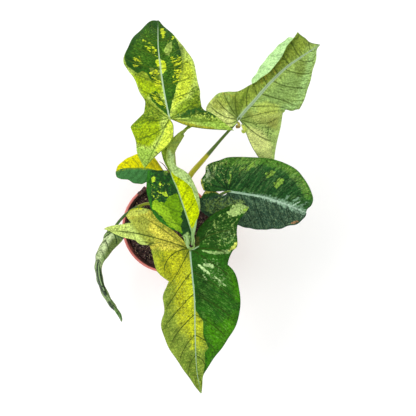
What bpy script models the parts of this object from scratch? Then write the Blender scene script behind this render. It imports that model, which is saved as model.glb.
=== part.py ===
"""Variegated arrowhead plant standing in a plain round nursery pot.

Metres, +Z up. The origin is the middle of the pot's flat underside. Leaves and petioles are set out on
a plan of the plant seen from straight above. A place on it is (across, down, height): plan steps from
the plan's top left corner, and the real height over the table in millimetres. place() carries it along
the plan's line of sight to world metres.
"""
import math
from dataclasses import dataclass, field

import bmesh
import bpy
from mathutils import Vector, noise
from mathutils.bvhtree import BVHTree

MM = 0.001

# Pot: a 12 cm nursery pot
RIM_DIAMETER = 0.120
POT_HEIGHT = 0.108
BASE_DIAMETER = 0.086
RIM_THICKNESS = 0.0029
WALL_THICKNESS = 0.0016
FLOOR_THICKNESS = 0.002
RIM_BAND_HEIGHT = 0.013
FOOT_CHAMFER = 0.002
INNER_LIP = 0.0006
OUTER_LIP = 0.0008
DRAIN_HOLES = 6
DRAIN_DIAMETER = 0.008
DRAIN_CIRCLE_RADIUS = 0.026
DRAIN_SIDES = 12
POT_SIDES = 56
HARD_EDGE = math.radians(35)

# Soil
SOIL_DEPTH_BELOW_RIM = 0.013
SOIL_RELIEF = 0.0028
SOIL_LUMP = 0.011
SOIL_RINGS = 5
HOLE_SIDES = 24
CONTACT_GAP = 0.0003

# Stem: upright, leaning a little towards the back right
STEM_FOOT = Vector((0.0135, 0.0175, 0.055))
STEM_TOP = Vector((0.0190, 0.0255, 0.150))
STEM_RADIUS = 0.0045
STEM_NODE_SPACING = 0.012
STEM_NODE_SWELL = 1.12
STEM_POINTS = 17

# Petioles
PETIOLE_RADIUS = 0.0017
SHEATH_RADIUS = 0.0024
SHEATH_LENGTH = 0.010
SHEATH_TAPER = 2.5
PETIOLE_STEP = 0.011
TUBE_RESOLUTION = 2

# Blades
BLADE_THICKNESS = 0.0008
MIDRIB_THICKNESS = 0.0013
COLUMNS = 20
ROWS = 4
FOLDED_ROWS = 8
LOBE_COLUMN_WIDTH = 0.0075
FLAT_SHARE = 0.55

# The plan: a view from straight above, its middle at VIEW_CENTRE plan steps
VIEW_HEIGHT = 0.910
VIEW_SLOPE = 0.00163
VIEW_CENTRE = (208.0, 208.0)
POT_CENTRE = (168.0, 227.0)
RIM_REACH = (VIEW_HEIGHT - POT_HEIGHT) * VIEW_SLOPE
VIEW_X = (VIEW_CENTRE[0] - POT_CENTRE[0]) * RIM_REACH
VIEW_Y = (POT_CENTRE[1] - VIEW_CENTRE[1]) * RIM_REACH


def place(across, down, height):
    """World point of a plan place at a real height in millimetres."""
    z = height * MM
    reach = (VIEW_HEIGHT - z) * VIEW_SLOPE
    return Vector((VIEW_X + (across - VIEW_CENTRE[0]) * reach, VIEW_Y + (VIEW_CENTRE[1] - down) * reach, z))


@dataclass
class Half:
    """One half of a blade, on one side of the midrib.

    side: stretches of the margin from the tip to the shoulder, as (root, across, down, height). The
        root is how far along the midrib, from 0 at the tip to 1 at the petiole, that point's vein starts.
    lobe: stretches of the margin from the shoulder to the tip of the basal lobe.
    inner: places along the lobe's inner edge, from the petiole to the lobe's tip.
    fold: where the half turns up and back over itself, as (root, across, down, height).
    ramp: over how much of the root's range the fold opens out at each of its ends.
    bend_power: how soon the bend of the inner edge fades among the lobe's other sections.
    rise: how far the turned-over part bulges up, in millimetres.
    arch: how far the middle of the half stands above a flat sheet, as a share of its width.
    """

    side: list
    lobe: list
    inner: list
    fold: list = field(default_factory=list)
    ramp: float = 0.05
    bend_power: float = 2.0
    rise: float = 2.0
    arch: float = 0.06


@dataclass
class Leaf:
    """A leaf: midrib from tip to petiole, two halves, and the petiole's path from stem to blade."""

    name: str
    midrib: list
    halves: tuple
    stem_height: float
    stem_azimuth: float
    path: list
    colour: tuple
    petiole_colour: tuple = (0.10, 0.17, 0.03)


def curve_point(points, t):
    """Point at t, in steps between points, on a smooth curve through them."""
    last = len(points) - 1
    i = min(int(t), last - 1)
    f = t - i
    p1 = points[i]
    p2 = points[i + 1]
    p0 = points[i - 1] if i > 0 else 2 * p1 - p2
    p3 = points[i + 2] if i + 2 <= last else 2 * p2 - p1
    return 0.5 * (2 * p1 + (p2 - p0) * f + (2 * p0 - 5 * p1 + 4 * p2 - p3) * f**2
                  + (3 * p1 - p0 - 3 * p2 + p3) * f**3)


def evenly(points, count, fine=24):
    """count + 1 points spaced evenly by length on a smooth curve through points."""
    steps = (len(points) - 1) * fine
    dense = [curve_point(points, i / fine) for i in range(steps + 1)]
    reach = [0.0]
    for a, b in zip(dense, dense[1:]):
        reach.append(reach[-1] + (b - a).length)
    found = []
    i = 0
    for k in range(count + 1):
        want = reach[-1] * k / count
        while i < steps - 1 and reach[i + 1] < want:
            i += 1
        span = reach[i + 1] - reach[i]
        found.append(dense[i].lerp(dense[i + 1], min(max((want - reach[i]) / span, 0.0), 1.0)))
    return found


def length_of(points):
    """Length of the broken line through points."""
    return sum((b - a).length for a, b in zip(points, points[1:]))


def at_root(rows, root):
    """Point for a root value on a smooth curve through rows of (root, across, down, height)."""
    points = [place(*row[1:]) for row in rows]
    for i in range(len(rows) - 1):
        low = rows[i][0]
        high = rows[i + 1][0]
        if root <= high or i == len(rows) - 2:
            return curve_point(points, i + min(max((root - low) / (high - low), 0.0), 1.0))
    return points[-1]


def side_point(half, root):
    """Margin point of a half for a root value."""
    for stretch in half.side:
        if root <= stretch[-1][0] + 1e-9:
            return at_root(stretch, root)
    return place(*half.side[-1][-1][1:])


def smooth_step(value):
    """0 to 1 with soft ends."""
    value = min(max(value, 0.0), 1.0)
    return value * value * (3 - 2 * value)


def fold_share(half, root):
    """How much of the turned-over section holds at a root value, 0 to 1."""
    if not half.fold:
        return 0.0
    first = half.fold[0][0]
    last = half.fold[-1][0]
    return smooth_step((root - first) / half.ramp) * smooth_step((last - root) / half.ramp)


def section(half, root, start, end, rows):
    """Points from the midrib to the margin of a half."""
    share = fold_share(half, root)
    keys = [start.lerp(end, i / 4) for i in range(5)]
    if share > 0:
        edge = at_root(half.fold, root)
        top = edge.lerp(end, 0.5) + Vector((0, 0, half.rise * MM))
        turned = [start, start.lerp(edge, FLAT_SHARE), edge, top, end]
        keys = [flat.lerp(turn, share) for flat, turn in zip(keys, turned)]
    points = []
    for row in range(rows + 1):
        point = curve_point(keys, 4 * row / rows)
        point.z += (1 - share) * half.arch * (end - start).length * math.sin(math.pi * row / rows)
        points.append(point)
    return points


def lobe_sections(half, junction, rows):
    """Sections of the basal lobe, from just past the shoulder to its inner edge."""
    margin = []
    for stretch in half.lobe:
        places = [place(*spot) for spot in stretch]
        count = max(1, round(length_of(places) / LOBE_COLUMN_WIDTH))
        margin += evenly(places, count)[1:]
    tip = margin[-1]
    inner = evenly([junction] + [place(*spot) for spot in half.inner] + [tip], rows)
    bend = [point - junction.lerp(tip, i / rows) for i, point in enumerate(inner)]
    found = []
    for k, end in enumerate(margin, 1):
        weight = (k / len(margin)) ** half.bend_power
        scale = weight * (end - junction).length / (tip - junction).length
        arch = (1 - weight) * half.arch * (end - junction).length
        column = []
        for row in range(rows + 1):
            point = junction.lerp(end, row / rows) + scale * bend[row]
            point.z += arch * math.sin(math.pi * row / rows)
            column.append(point)
        found.append(column)
    return found


def blade_sheet(leaf):
    """The blade as a sheet with no thickness, and the midrib's vertices.

    Each half is a grid of columns from the midrib to the margin. The columns of the basal lobe all start
    at the petiole. Both halves share the midrib's vertices.
    """
    mesh = bmesh.new()
    spine = evenly([place(*spot) for spot in leaf.midrib], COLUMNS)
    ribs = [mesh.verts.new(point) for point in spine]
    for half in leaf.halves:
        rows = FOLDED_ROWS if half.fold else ROWS
        columns = [[ribs[0]] * (rows + 1)]
        for k in range(1, COLUMNS + 1):
            root = k / COLUMNS
            points = section(half, root, spine[k], side_point(half, root), rows)
            columns.append([ribs[k]] + [mesh.verts.new(point) for point in points[1:]])
        for points in lobe_sections(half, spine[-1], rows):
            columns.append([ribs[-1]] + [mesh.verts.new(point) for point in points[1:]])
        for near, far in zip(columns, columns[1:]):
            for row in range(rows):
                corners = []
                for vert in (near[row], near[row + 1], far[row + 1], far[row]):
                    if vert not in corners:
                        corners.append(vert)
                mesh.faces.new(corners)
    bmesh.ops.recalc_face_normals(mesh, faces=mesh.faces)
    bmesh.ops.triangulate(mesh, faces=mesh.faces)
    return mesh, [vert.index for vert in ribs]


def material(name, colour, roughness):
    """A plain Principled material."""
    made = bpy.data.materials.new(name)
    made.use_nodes = True
    shader = made.node_tree.nodes["Principled BSDF"]
    shader.inputs["Base Color"].default_value = (*colour, 1)
    shader.inputs["Roughness"].default_value = roughness
    shader.inputs["Metallic"].default_value = 0
    return made


def add_object(name, data, finish):
    """Link an object with one material."""
    thing = bpy.data.objects.new(name, data)
    bpy.context.scene.collection.objects.link(thing)
    data.materials.append(finish)
    return thing


def mesh_object(name, mesh, finish):
    """Make an object from a bmesh and shade it smooth, apart from hard edges."""
    data = bpy.data.meshes.new(name)
    mesh.to_mesh(data)
    mesh.free()
    data.shade_smooth()
    data.set_sharp_from_angle(angle=HARD_EDGE)
    return add_object(name, data, finish)


def tube(name, points, radii, finish):
    """A round tube with filled ends through points, with a radius at each."""
    data = bpy.data.curves.new(name, "CURVE")
    data.dimensions = "3D"
    data.bevel_depth = max(radii)
    data.bevel_resolution = TUBE_RESOLUTION
    data.use_fill_caps = True
    data.resolution_u = 1
    line = data.splines.new("POLY")
    line.points.add(len(points) - 1)
    for knot, point, radius in zip(line.points, points, radii):
        knot.co = (*point, 1)
        knot.radius = radius / max(radii)
    line.use_smooth = True
    return add_object(name, data, finish)


def turned(profile, sides):
    """A closed solid turned about Z from a profile of (radius, z) that starts and ends on the axis."""
    mesh = bmesh.new()
    verts = [mesh.verts.new((radius, 0, z)) for radius, z in profile]
    edges = [mesh.edges.new(pair) for pair in zip(verts, verts[1:])]
    bmesh.ops.spin(mesh, geom=verts + edges, cent=(0, 0, 0), axis=(0, 0, 1), angle=2 * math.pi, steps=sides,
                   use_merge=True)
    bmesh.ops.remove_doubles(mesh, verts=mesh.verts, dist=0.00001)
    bmesh.ops.recalc_face_normals(mesh, faces=mesh.faces)
    return mesh


def wall_radius(z):
    """Outer radius of the tapered wall under the rim band."""
    low = BASE_DIAMETER / 2
    high = RIM_DIAMETER / 2 - RIM_THICKNESS + WALL_THICKNESS
    return low + (high - low) * z / POT_HEIGHT


def cut(thing, cutters):
    """Take the cutters out of thing."""
    for cutter in cutters:
        cutter.hide_render = True
        cutter.display_type = "WIRE"
        knife = thing.modifiers.new(cutter.name, "BOOLEAN")
        knife.operation = "DIFFERENCE"
        knife.object = cutter


def round_cutter(name, start, end, radius, sides):
    """A cylinder between two points, used only to cut."""
    mesh = bmesh.new()
    bmesh.ops.create_cone(mesh, cap_ends=True, segments=sides, radius1=radius, radius2=radius,
                          depth=(end - start).length)
    data = bpy.data.meshes.new(name)
    mesh.to_mesh(data)
    mesh.free()
    cutter = bpy.data.objects.new(name, data)
    bpy.context.scene.collection.objects.link(cutter)
    cutter.location = (start + end) / 2
    cutter.rotation_mode = "QUATERNION"
    cutter.rotation_quaternion = (end - start).to_track_quat("Z", "Y")
    return cutter


def build_pot():
    """The pot: tapered wall, rim band, flat floor and drain holes round a solid middle."""
    rim = RIM_DIAMETER / 2
    band = POT_HEIGHT - RIM_BAND_HEIGHT
    inside = -WALL_THICKNESS
    profile = [
        (0, FLOOR_THICKNESS),
        (wall_radius(FLOOR_THICKNESS) + inside, FLOOR_THICKNESS),
        (wall_radius(POT_HEIGHT) + inside, POT_HEIGHT - INNER_LIP),
        (wall_radius(POT_HEIGHT) + inside + INNER_LIP, POT_HEIGHT),
        (rim - OUTER_LIP, POT_HEIGHT),
        (rim, POT_HEIGHT - OUTER_LIP),
        (rim - INNER_LIP, band),
        (wall_radius(band), band),
        (wall_radius(FOOT_CHAMFER), FOOT_CHAMFER),
        (wall_radius(0) - FOOT_CHAMFER, 0),
        (0, 0),
    ]
    pot = mesh_object("pot", turned(profile, POT_SIDES), material("pot", (0.62, 0.22, 0.17), 0.45))
    drains = []
    for i in range(DRAIN_HOLES):
        angle = 2 * math.pi * i / DRAIN_HOLES
        spot = Vector((math.cos(angle), math.sin(angle), 0)) * DRAIN_CIRCLE_RADIUS
        low = spot - Vector((0, 0, FLOOR_THICKNESS))
        high = spot + Vector((0, 0, 2 * FLOOR_THICKNESS))
        drains.append(round_cutter(f"drain_{i + 1}", low, high, DRAIN_DIAMETER / 2, DRAIN_SIDES))
    cut(pot, drains)


def build_soil():
    """Soil that fills the pot, with a lumpy top and a plain hole for the stem."""
    top = POT_HEIGHT - SOIL_DEPTH_BELOW_RIM
    low = FLOOR_THICKNESS + CONTACT_GAP
    clear = WALL_THICKNESS + CONTACT_GAP
    edge = wall_radius(top) - clear
    profile = [(0, low), (wall_radius(low) - clear, low), (edge, top)]
    for ring in range(SOIL_RINGS - 1, -1, -1):
        profile.append((edge * ring / SOIL_RINGS, top))
    mesh = turned(profile, POT_SIDES)
    for vert in mesh.verts:
        reach = math.hypot(vert.co.x, vert.co.y)
        if vert.co.z > top - 0.0001 and reach < edge * 0.99:
            vert.co.z += SOIL_RELIEF * noise.noise(Vector((vert.co.x, vert.co.y, 0.3)) / SOIL_LUMP)
    bmesh.ops.triangulate(mesh, faces=mesh.faces)
    soil = mesh_object("soil", mesh, material("soil", (0.045, 0.026, 0.022), 0.95))
    along = (STEM_TOP - STEM_FOOT).normalized()
    hole = round_cutter("stem_hole", STEM_FOOT - CONTACT_GAP * along, STEM_FOOT + along * (top / 2),
                        STEM_RADIUS * STEM_NODE_SWELL + CONTACT_GAP, HOLE_SIDES)
    cut(soil, [hole])


def build_stem():
    """The upright stem, with a slight swelling at each node."""
    radii = []
    for i in range(STEM_POINTS):
        height = (STEM_TOP - STEM_FOOT).length * i / (STEM_POINTS - 1)
        swell = 0.5 + 0.5 * math.cos(2 * math.pi * height / STEM_NODE_SPACING)
        radii.append(STEM_RADIUS * (1 + (STEM_NODE_SWELL - 1) * swell))
    points = [STEM_FOOT.lerp(STEM_TOP, i / (STEM_POINTS - 1)) for i in range(STEM_POINTS)]
    tube("stem", points, radii, material("stem", (0.16, 0.20, 0.05), 0.6))


def stem_side(height, azimuth):
    """Where a sheath's middle line lies against the stem at a height in millimetres."""
    along = (height * MM - STEM_FOOT.z) / (STEM_TOP.z - STEM_FOOT.z)
    angle = math.radians(azimuth)
    reach = STEM_RADIUS * STEM_NODE_SWELL + SHEATH_RADIUS + CONTACT_GAP
    return STEM_FOOT.lerp(STEM_TOP, along) + reach * Vector((math.cos(angle), math.sin(angle), 0))


def seat(sheet, junction, approach):
    """End of a petiole: as near the blade as its flat end can come with the contact gap."""
    tree = BVHTree.FromBMesh(sheet)
    across = approach.orthogonal().normalized()
    up = approach.cross(across)
    reach = MIDRIB_THICKNESS / 2
    while True:
        middle = junction + approach * reach
        ring = [middle + PETIOLE_RADIUS * (math.cos(a) * across + math.sin(a) * up)
                for a in (2 * math.pi * i / 12 for i in range(12))]
        if min(tree.find_nearest(point)[3] for point in ring + [middle]) > MIDRIB_THICKNESS / 2 + CONTACT_GAP:
            return middle
        reach += CONTACT_GAP / 2


def build_leaf(leaf):
    """A blade and its petiole."""
    sheet, ribs = blade_sheet(leaf)
    sheet.verts.index_update()
    junction = place(*leaf.midrib[-1])
    path = [place(*spot) for spot in leaf.path]
    end = seat(sheet, junction, (path[-1] - junction).normalized())

    blade = mesh_object(f"blade_{leaf.name}", sheet, material(f"blade_{leaf.name}", leaf.colour, 0.4))
    whole = blade.vertex_groups.new(name="thickness")
    whole.add(ribs, 1.0, "REPLACE")
    solid = blade.modifiers.new("thickness", "SOLIDIFY")
    solid.thickness = MIDRIB_THICKNESS
    solid.offset = 0
    solid.vertex_group = whole.name
    solid.thickness_vertex_group = BLADE_THICKNESS / MIDRIB_THICKNESS

    if leaf.stem_height:
        start = stem_side(leaf.stem_height, leaf.stem_azimuth)
        sheath = [start, stem_side(leaf.stem_height + SHEATH_LENGTH / MM, leaf.stem_azimuth)]
    else:
        along = (STEM_TOP - STEM_FOOT).normalized()
        start = STEM_TOP + along * CONTACT_GAP
        sheath = [start, start + along * SHEATH_LENGTH]
    keys = sheath + path + [end]
    count = max(6, round(length_of(keys) / PETIOLE_STEP))
    points = evenly(keys, count)
    thin = SHEATH_LENGTH * SHEATH_TAPER / length_of(keys)
    radii = [PETIOLE_RADIUS + (SHEATH_RADIUS - PETIOLE_RADIUS) * (1 - smooth_step(i / count / thin))
             for i in range(count + 1)]
    tube(f"petiole_{leaf.name}", points, radii, material(f"petiole_{leaf.name}", leaf.petiole_colour, 0.45))


UPPER_LEFT = Leaf(
    name="upper_left",
    midrib=[(158, 20.5, 256), (158, 35, 272), (158.5, 50, 283), (161.5, 75, 294), (165, 97, 299),
            (169.5, 118.5, 300)],
    halves=(
        Half(
            side=[[(0, 158, 20.5, 256), (0.06, 150, 22, 258), (0.14, 140, 29, 266), (0.26, 131, 39.5, 276),
                   (0.38, 125.5, 51, 284), (0.48, 123.5, 62, 288), (0.56, 128, 70.5, 286),
                   (0.66, 134.5, 79, 291), (0.76, 139, 91, 295), (0.86, 144.5, 99.5, 294),
                   (1, 145, 109, 293)]],
            lobe=[[(145, 109, 293), (139, 117, 295), (131.3, 124.5, 295), (131, 129, 295), (136, 141, 295),
                   (137.3, 152, 292), (141, 162, 287), (144.5, 168.5, 283)]],
            inner=[(172, 128, 301), (172.5, 136, 303), (169, 144, 304), (161, 151.5, 301), (152, 160, 293)],
            arch=0.08,
        ),
        Half(
            side=[[(0, 158, 20.5, 256), (0.1, 165, 27, 260), (0.22, 175, 39, 271), (0.36, 186, 52, 282),
                   (0.46, 193.5, 61, 287), (0.58, 196, 74, 288), (0.72, 199.5, 89, 293),
                   (0.86, 200.3, 98, 298), (1, 201.5, 107, 302)]],
            lobe=[[(201.5, 107, 302), (204, 110, 303), (211, 112.7, 304), (222, 121, 302),
                   (234, 130.5, 297)]],
            inner=[(176, 121.3, 301), (188, 126, 303), (203, 128.7, 303), (219, 129.9, 300)],
            arch=0.08,
        ),
    ),
    stem_height=130,
    stem_azimuth=105,
    path=[(178.5, 196, 158), (176, 178, 195), (174.5, 162, 225), (172.5, 140, 268), (171, 127, 290)],
    colour=(0.16, 0.30, 0.04),
)

UPPER_RIGHT = Leaf(
    name="upper_right",
    midrib=[(319.5, 44.5, 282), (302, 56.5, 294), (287, 67, 299), (270, 83, 300), (255, 100, 297),
            (244, 112, 292), (238.5, 119, 288)],
    halves=(
        Half(
            side=[[(0, 319.5, 44.5, 282), (0.05, 310, 41.5, 288), (0.1, 302.5, 35.8, 295),
                   (0.15, 298, 32, 300)],
                  [(0.15, 298, 32, 300), (0.27, 289, 44, 308), (0.36, 283, 54, 310), (0.46, 276, 65, 310),
                   (0.58, 265, 75, 308), (0.68, 255.5, 80, 303), (0.77, 247, 86, 298),
                   (0.88, 238, 91.3, 295), (1, 228, 91.5, 292)]],
            lobe=[[(228, 91.5, 292), (217, 93, 289), (210, 99, 286), (205, 108, 283), (209, 116.5, 282),
                   (216, 122, 281)]],
            inner=[(235.5, 125, 287), (228, 127.5, 285)],
            fold=[(0.16, 295, 33, 299), (0.2, 290, 37, 300), (0.27, 284, 41, 301), (0.33, 279, 45, 301),
                  (0.42, 272, 52, 301), (0.5, 266, 59, 300), (0.58, 260, 67, 298), (0.64, 256.5, 73.5, 297),
                  (0.7, 252.5, 80, 297)],
            ramp=0.12,
            rise=1.0,
        ),
        Half(
            side=[[(0, 319.5, 44.5, 282), (0.07, 316.3, 49, 281), (0.2, 314, 62, 285), (0.34, 310, 77, 287),
                   (0.5, 305.5, 94, 284), (0.62, 300.5, 106, 279), (0.72, 293, 110, 275),
                   (0.82, 286.5, 109.5, 275), (1, 283, 112.5, 273)]],
            lobe=[[(283, 112.5, 273), (280, 125, 258), (276, 140, 236), (274, 154, 214), (271, 160.5, 203),
                   (265.5, 163.5, 199)]],
            inner=[(242.5, 124, 285), (246, 133, 273), (250, 143, 255), (255, 152, 234), (260, 159, 214)],
        ),
    ),
    stem_height=123,
    stem_azimuth=52,
    path=[(184, 189, 160), (190.5, 175, 193), (203.5, 160, 227), (219.3, 140, 264)],
    colour=(0.22, 0.30, 0.06),
)

RIGHT = Leaf(
    name="right",
    midrib=[(306, 213, 205), (293, 208, 214), (278, 203, 221), (262, 198, 226), (245, 194.5, 229),
            (228, 191, 229)],
    halves=(
        Half(
            side=[[(0, 306, 213, 205), (0.03, 307.2, 208.5, 207), (0.07, 311.5, 204, 210),
                   (0.13, 313, 197, 215), (0.24, 308, 185, 223), (0.38, 299, 172, 231),
                   (0.53, 287, 164, 236), (0.72, 270, 158.5, 239), (0.88, 255, 157.3, 240),
                   (1, 241, 156.8, 240)]],
            lobe=[[(241, 156.8, 240), (228, 157, 239), (219, 159.5, 237), (210.5, 162, 235),
                   (205.3, 165.5, 233), (205, 173, 231), (200.7, 181, 230), (203.5, 190.5, 229)]],
            inner=[(220, 190, 229), (212, 191, 229)],
            arch=0.08,
        ),
        Half(
            side=[[(0, 306, 213, 205), (0.05, 305, 217, 204), (0.12, 300.5, 220, 206), (0.2, 295, 223.5, 208),
                   (0.28, 288, 225, 210), (0.4, 279, 228, 211), (0.52, 270, 228.2, 212),
                   (0.66, 261, 229, 213), (0.78, 254, 228, 213), (0.9, 246, 227.3, 214),
                   (1, 239, 225, 215)]],
            lobe=[[(239, 225, 215), (228, 223, 216), (215, 219.5, 217), (203, 213, 218), (197, 205, 219)]],
            inner=[(225.5, 194.7, 227), (220.5, 195.7, 225), (213, 194.5, 223), (205, 196, 221)],
            arch=0.08,
        ),
    ),
    stem_height=112,
    stem_azimuth=8,
    path=[(194, 206, 148), (204, 202, 182), (217, 196.5, 210)],
    colour=(0.03, 0.13, 0.04),
)

FRONT = Leaf(
    name="front",
    midrib=[(201, 393.5, 196), (196.5, 368, 206), (195, 330, 220), (194.5, 300, 230), (192.8, 280, 236),
            (191, 262, 240), (190, 249, 240)],
    halves=(
        Half(
            side=[[(0, 201, 393.5, 196), (0.13, 192, 380, 201), (0.25, 184, 368, 206), (0.36, 176, 357, 211),
                   (0.48, 167, 344, 217), (0.6, 162, 330, 222), (0.66, 161.5, 321.5, 224),
                   (0.72, 164, 312.5, 227), (0.79, 164, 304, 229), (0.85, 163, 296.5, 230),
                   (0.92, 165.3, 289, 233), (1, 169.5, 281.5, 234)]],
            lobe=[[(169.5, 281.5, 234), (160, 274.5, 235), (155.5, 268, 234), (152.5, 256, 232),
                   (149.5, 246, 230), (141, 243, 226), (133, 239.5, 223), (126, 237.3, 219),
                   (118, 235.3, 213), (111, 232, 207), (103.5, 229, 202)],
                  [(103.5, 229, 202), (109, 226.5, 208), (120, 225.3, 214), (132, 224.3, 222)],
                  [(132, 224.3, 222), (128.7, 219.5, 222), (125.8, 215.8, 221)]],
            inner=[(186, 243, 240), (177, 233.5, 239), (167.5, 225, 236), (158, 215.5, 233),
                   (150, 209.3, 229), (140, 207.3, 226), (131, 209.5, 223)],
            bend_power=6,
            arch=0.09,
        ),
        Half(
            side=[[(0, 201, 393.5, 196), (0.06, 201.5, 385, 198), (0.14, 203, 373.5, 202),
                   (0.26, 212, 359.5, 207), (0.38, 223, 346, 213), (0.52, 233, 331, 219),
                   (0.64, 239, 315.5, 224), (0.76, 240.3, 300, 229), (0.88, 238, 282, 234),
                   (0.95, 235, 271.5, 236), (1, 227, 264, 238)]],
            lobe=[[(227, 264, 238), (228, 258, 239), (231.5, 250.5, 240), (236, 245, 241),
                   (235.5, 231, 244), (239, 221, 247), (245.5, 212.5, 249), (249, 207, 249)]],
            inner=[(197, 246, 242), (195.5, 238, 244), (199, 228, 247), (205.5, 220.5, 249),
                   (213, 214, 251), (225, 207.7, 252), (238, 203, 252)],
            arch=0.09,
        ),
    ),
    stem_height=106,
    stem_azimuth=-85,
    path=[(183.5, 231, 148), (187, 243, 190), (188.8, 247.5, 222)],
    colour=(0.28, 0.32, 0.05),
)

CENTRE = Leaf(
    name="centre",
    midrib=[(196, 118, 274), (188, 127.5, 278), (180, 137, 281), (171.5, 150, 282), (169.5, 162, 281),
            (171, 174, 279), (177, 188, 275), (183, 205, 268), (189, 223, 259), (191.5, 232, 254),
            (191.3, 240, 250)],
    halves=(
        Half(
            side=[[(0, 196, 118, 274), (0.1, 184.5, 126.5, 279), (0.18, 176.5, 132.5, 281),
                   (0.24, 169, 142, 282), (0.29, 162, 149.5, 282.5), (0.34, 160.5, 155.5, 282),
                   (0.4, 163.5, 163.5, 281), (0.45, 167.8, 170.5, 280)],
                  [(0.45, 167.8, 170.5, 280), (0.5, 148, 170.5, 278)],
                  [(0.5, 148, 170.5, 278), (0.55, 146.8, 178, 276.5), (0.62, 146.5, 188, 275),
                   (0.69, 147.6, 196, 273.5), (0.76, 150, 205.5, 271), (0.82, 153.5, 213.5, 268),
                   (0.87, 160, 221.5, 264), (0.92, 170, 228.3, 261), (0.96, 179.5, 232.5, 258),
                   (1, 184, 238.5, 254)]],
            lobe=[[(184, 238.5, 254), (185, 243.5, 252), (187.7, 248, 250)]],
            inner=[(189.8, 244.5, 250)],
        ),
        Half(
            side=[[(0, 196, 118, 274), (0.05, 194.5, 122.5, 277.5), (0.1, 190.5, 127.5, 281.5),
                   (0.18, 178.5, 133.5, 292.5), (0.27, 168.5, 147, 295), (0.36, 166, 158, 294),
                   (0.44, 169.5, 167.5, 289), (0.49, 174, 174.8, 287), (0.545, 181, 179, 286),
                   (0.6, 187, 183.2, 285),
                   (0.64, 190, 186.7, 284.5), (0.69, 193, 192.3, 283), (0.74, 195.8, 199, 281),
                   (0.78, 197.8, 205.5, 278.5), (0.835, 198.3, 213, 275), (0.89, 197.3, 219.5, 269.5),
                   (0.945, 197.3, 229, 261), (1, 197, 236, 255)]],
            lobe=[[(197, 236, 255), (199, 241, 253), (197.8, 246, 251), (194, 248.3, 250)]],
            inner=[(192.6, 244.5, 250)],
            fold=[(0.13, 189.3, 128.4, 279.6), (0.2, 186, 131.5, 281), (0.27, 181, 138, 282),
                  (0.34, 177.5, 145, 283), (0.39, 175, 152, 282.5),
                  (0.43, 174, 158, 281.5), (0.47, 174.8, 163.5, 281), (0.51, 178, 167.3, 280),
                  (0.545, 183, 170, 279.5), (0.58, 187, 173, 279), (0.636, 191.3, 178.5, 277.5),
                  (0.68, 194.3, 184.5, 276), (0.727, 197, 191, 274), (0.773, 199, 198.5, 271.5),
                  (0.818, 200.2, 207, 268.5), (0.863, 200, 214.5, 265), (0.93, 199, 222, 261)],
            ramp=0.12,
            rise=2.5,
            arch=0.0,
        ),
    ),
    stem_height=0,
    stem_azimuth=0,
    path=[(183.5, 214, 178), (187.5, 227, 212), (190.6, 237.5, 238)],
    colour=(0.20, 0.28, 0.02),
)

LEFT = Leaf(
    name="left",
    midrib=[(116, 171.5, 200), (121, 169, 203), (130, 168, 207), (148, 168.5, 212), (165, 173, 213)],
    halves=(
        Half(
            side=[[(0, 116, 171.5, 200), (0.08, 118.3, 165.7, 202), (0.18, 123, 161, 205),
                   (0.32, 128.5, 157.6, 208), (0.5, 137.5, 153.8, 211), (0.75, 147, 153.3, 212),
                   (1, 155, 157, 212)]],
            lobe=[[(155, 157, 212), (160.5, 159.5, 210), (164.5, 163.5, 207)]],
            inner=[(165.8, 168.5, 211)],
        ),
        Half(
            side=[[(0, 116, 171.5, 200), (0.07, 116.7, 177, 199), (0.16, 120.5, 178.9, 201),
                   (0.3, 127.5, 179.7, 203), (0.45, 134, 183, 204), (0.62, 141, 184, 205),
                   (0.8, 147.5, 182, 207), (1, 155, 183.5, 208)]],
            lobe=[[(155, 183.5, 208), (161, 184.8, 206), (166, 182, 204)]],
            inner=[(166.6, 177.5, 210)],
        ),
    ),
    stem_height=118,
    stem_azimuth=150,
    path=[(174.5, 198, 148), (170, 187, 175), (167, 178.5, 198)],
    colour=(0.35, 0.38, 0.03),
)

DROOPING = Leaf(
    name="drooping",
    midrib=[(121.5, 321.5, 62), (117, 311, 75), (111, 301.5, 88), (104, 290, 103), (99.8, 278, 117),
            (98.8, 264, 131), (100.5, 251, 144), (105.5, 240, 155), (113, 231.5, 162)],
    halves=(
        Half(
            side=[[(0, 121.5, 321.5, 62), (0.06, 118.3, 315.5, 65), (0.14, 113, 309.3, 69),
                   (0.22, 107.3, 303, 75), (0.32, 101, 291.5, 86), (0.43, 97.3, 281, 98),
                   (0.55, 95, 269, 112), (0.68, 95.3, 257, 127), (0.8, 97.5, 248.5, 139),
                   (0.9, 101, 242.5, 148), (1, 103.5, 237, 153)]],
            lobe=[[(103.5, 237, 153), (106, 232.5, 156), (109, 228.5, 159)]],
            inner=[(111.3, 229.5, 161)],
            arch=0.03,
        ),
        Half(
            side=[[(0, 121.5, 321.5, 62), (0.06, 122.3, 318.5, 62), (0.14, 120.3, 313.2, 67),
                   (0.24, 116, 306, 76), (0.34, 110.8, 298, 87), (0.46, 104.8, 285.5, 101),
                   (0.56, 102.2, 274.5, 114), (0.66, 102.4, 264.5, 127), (0.76, 106, 257.3, 137),
                   (0.86, 110.5, 251, 145), (0.93, 114.5, 246.5, 150), (1, 120.5, 240.5, 153)]],
            lobe=[[(120.5, 240.5, 153), (127, 234.5, 152), (131, 227, 151), (130, 221.5, 151)]],
            inner=[(118, 227.5, 161), (124, 223.5, 156)],
            arch=0.03,
        ),
    ),
    stem_height=100,
    stem_azimuth=196,
    path=[(167, 212, 122), (158, 206.3, 142), (148, 203.7, 156), (139, 205.7, 166), (128, 211, 172),
          (119, 217, 173), (114.6, 223.5, 170)],
    colour=(0.20, 0.28, 0.12),
)

LEAVES = (UPPER_LEFT, UPPER_RIGHT, RIGHT, FRONT, CENTRE, LEFT, DROOPING)


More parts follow.
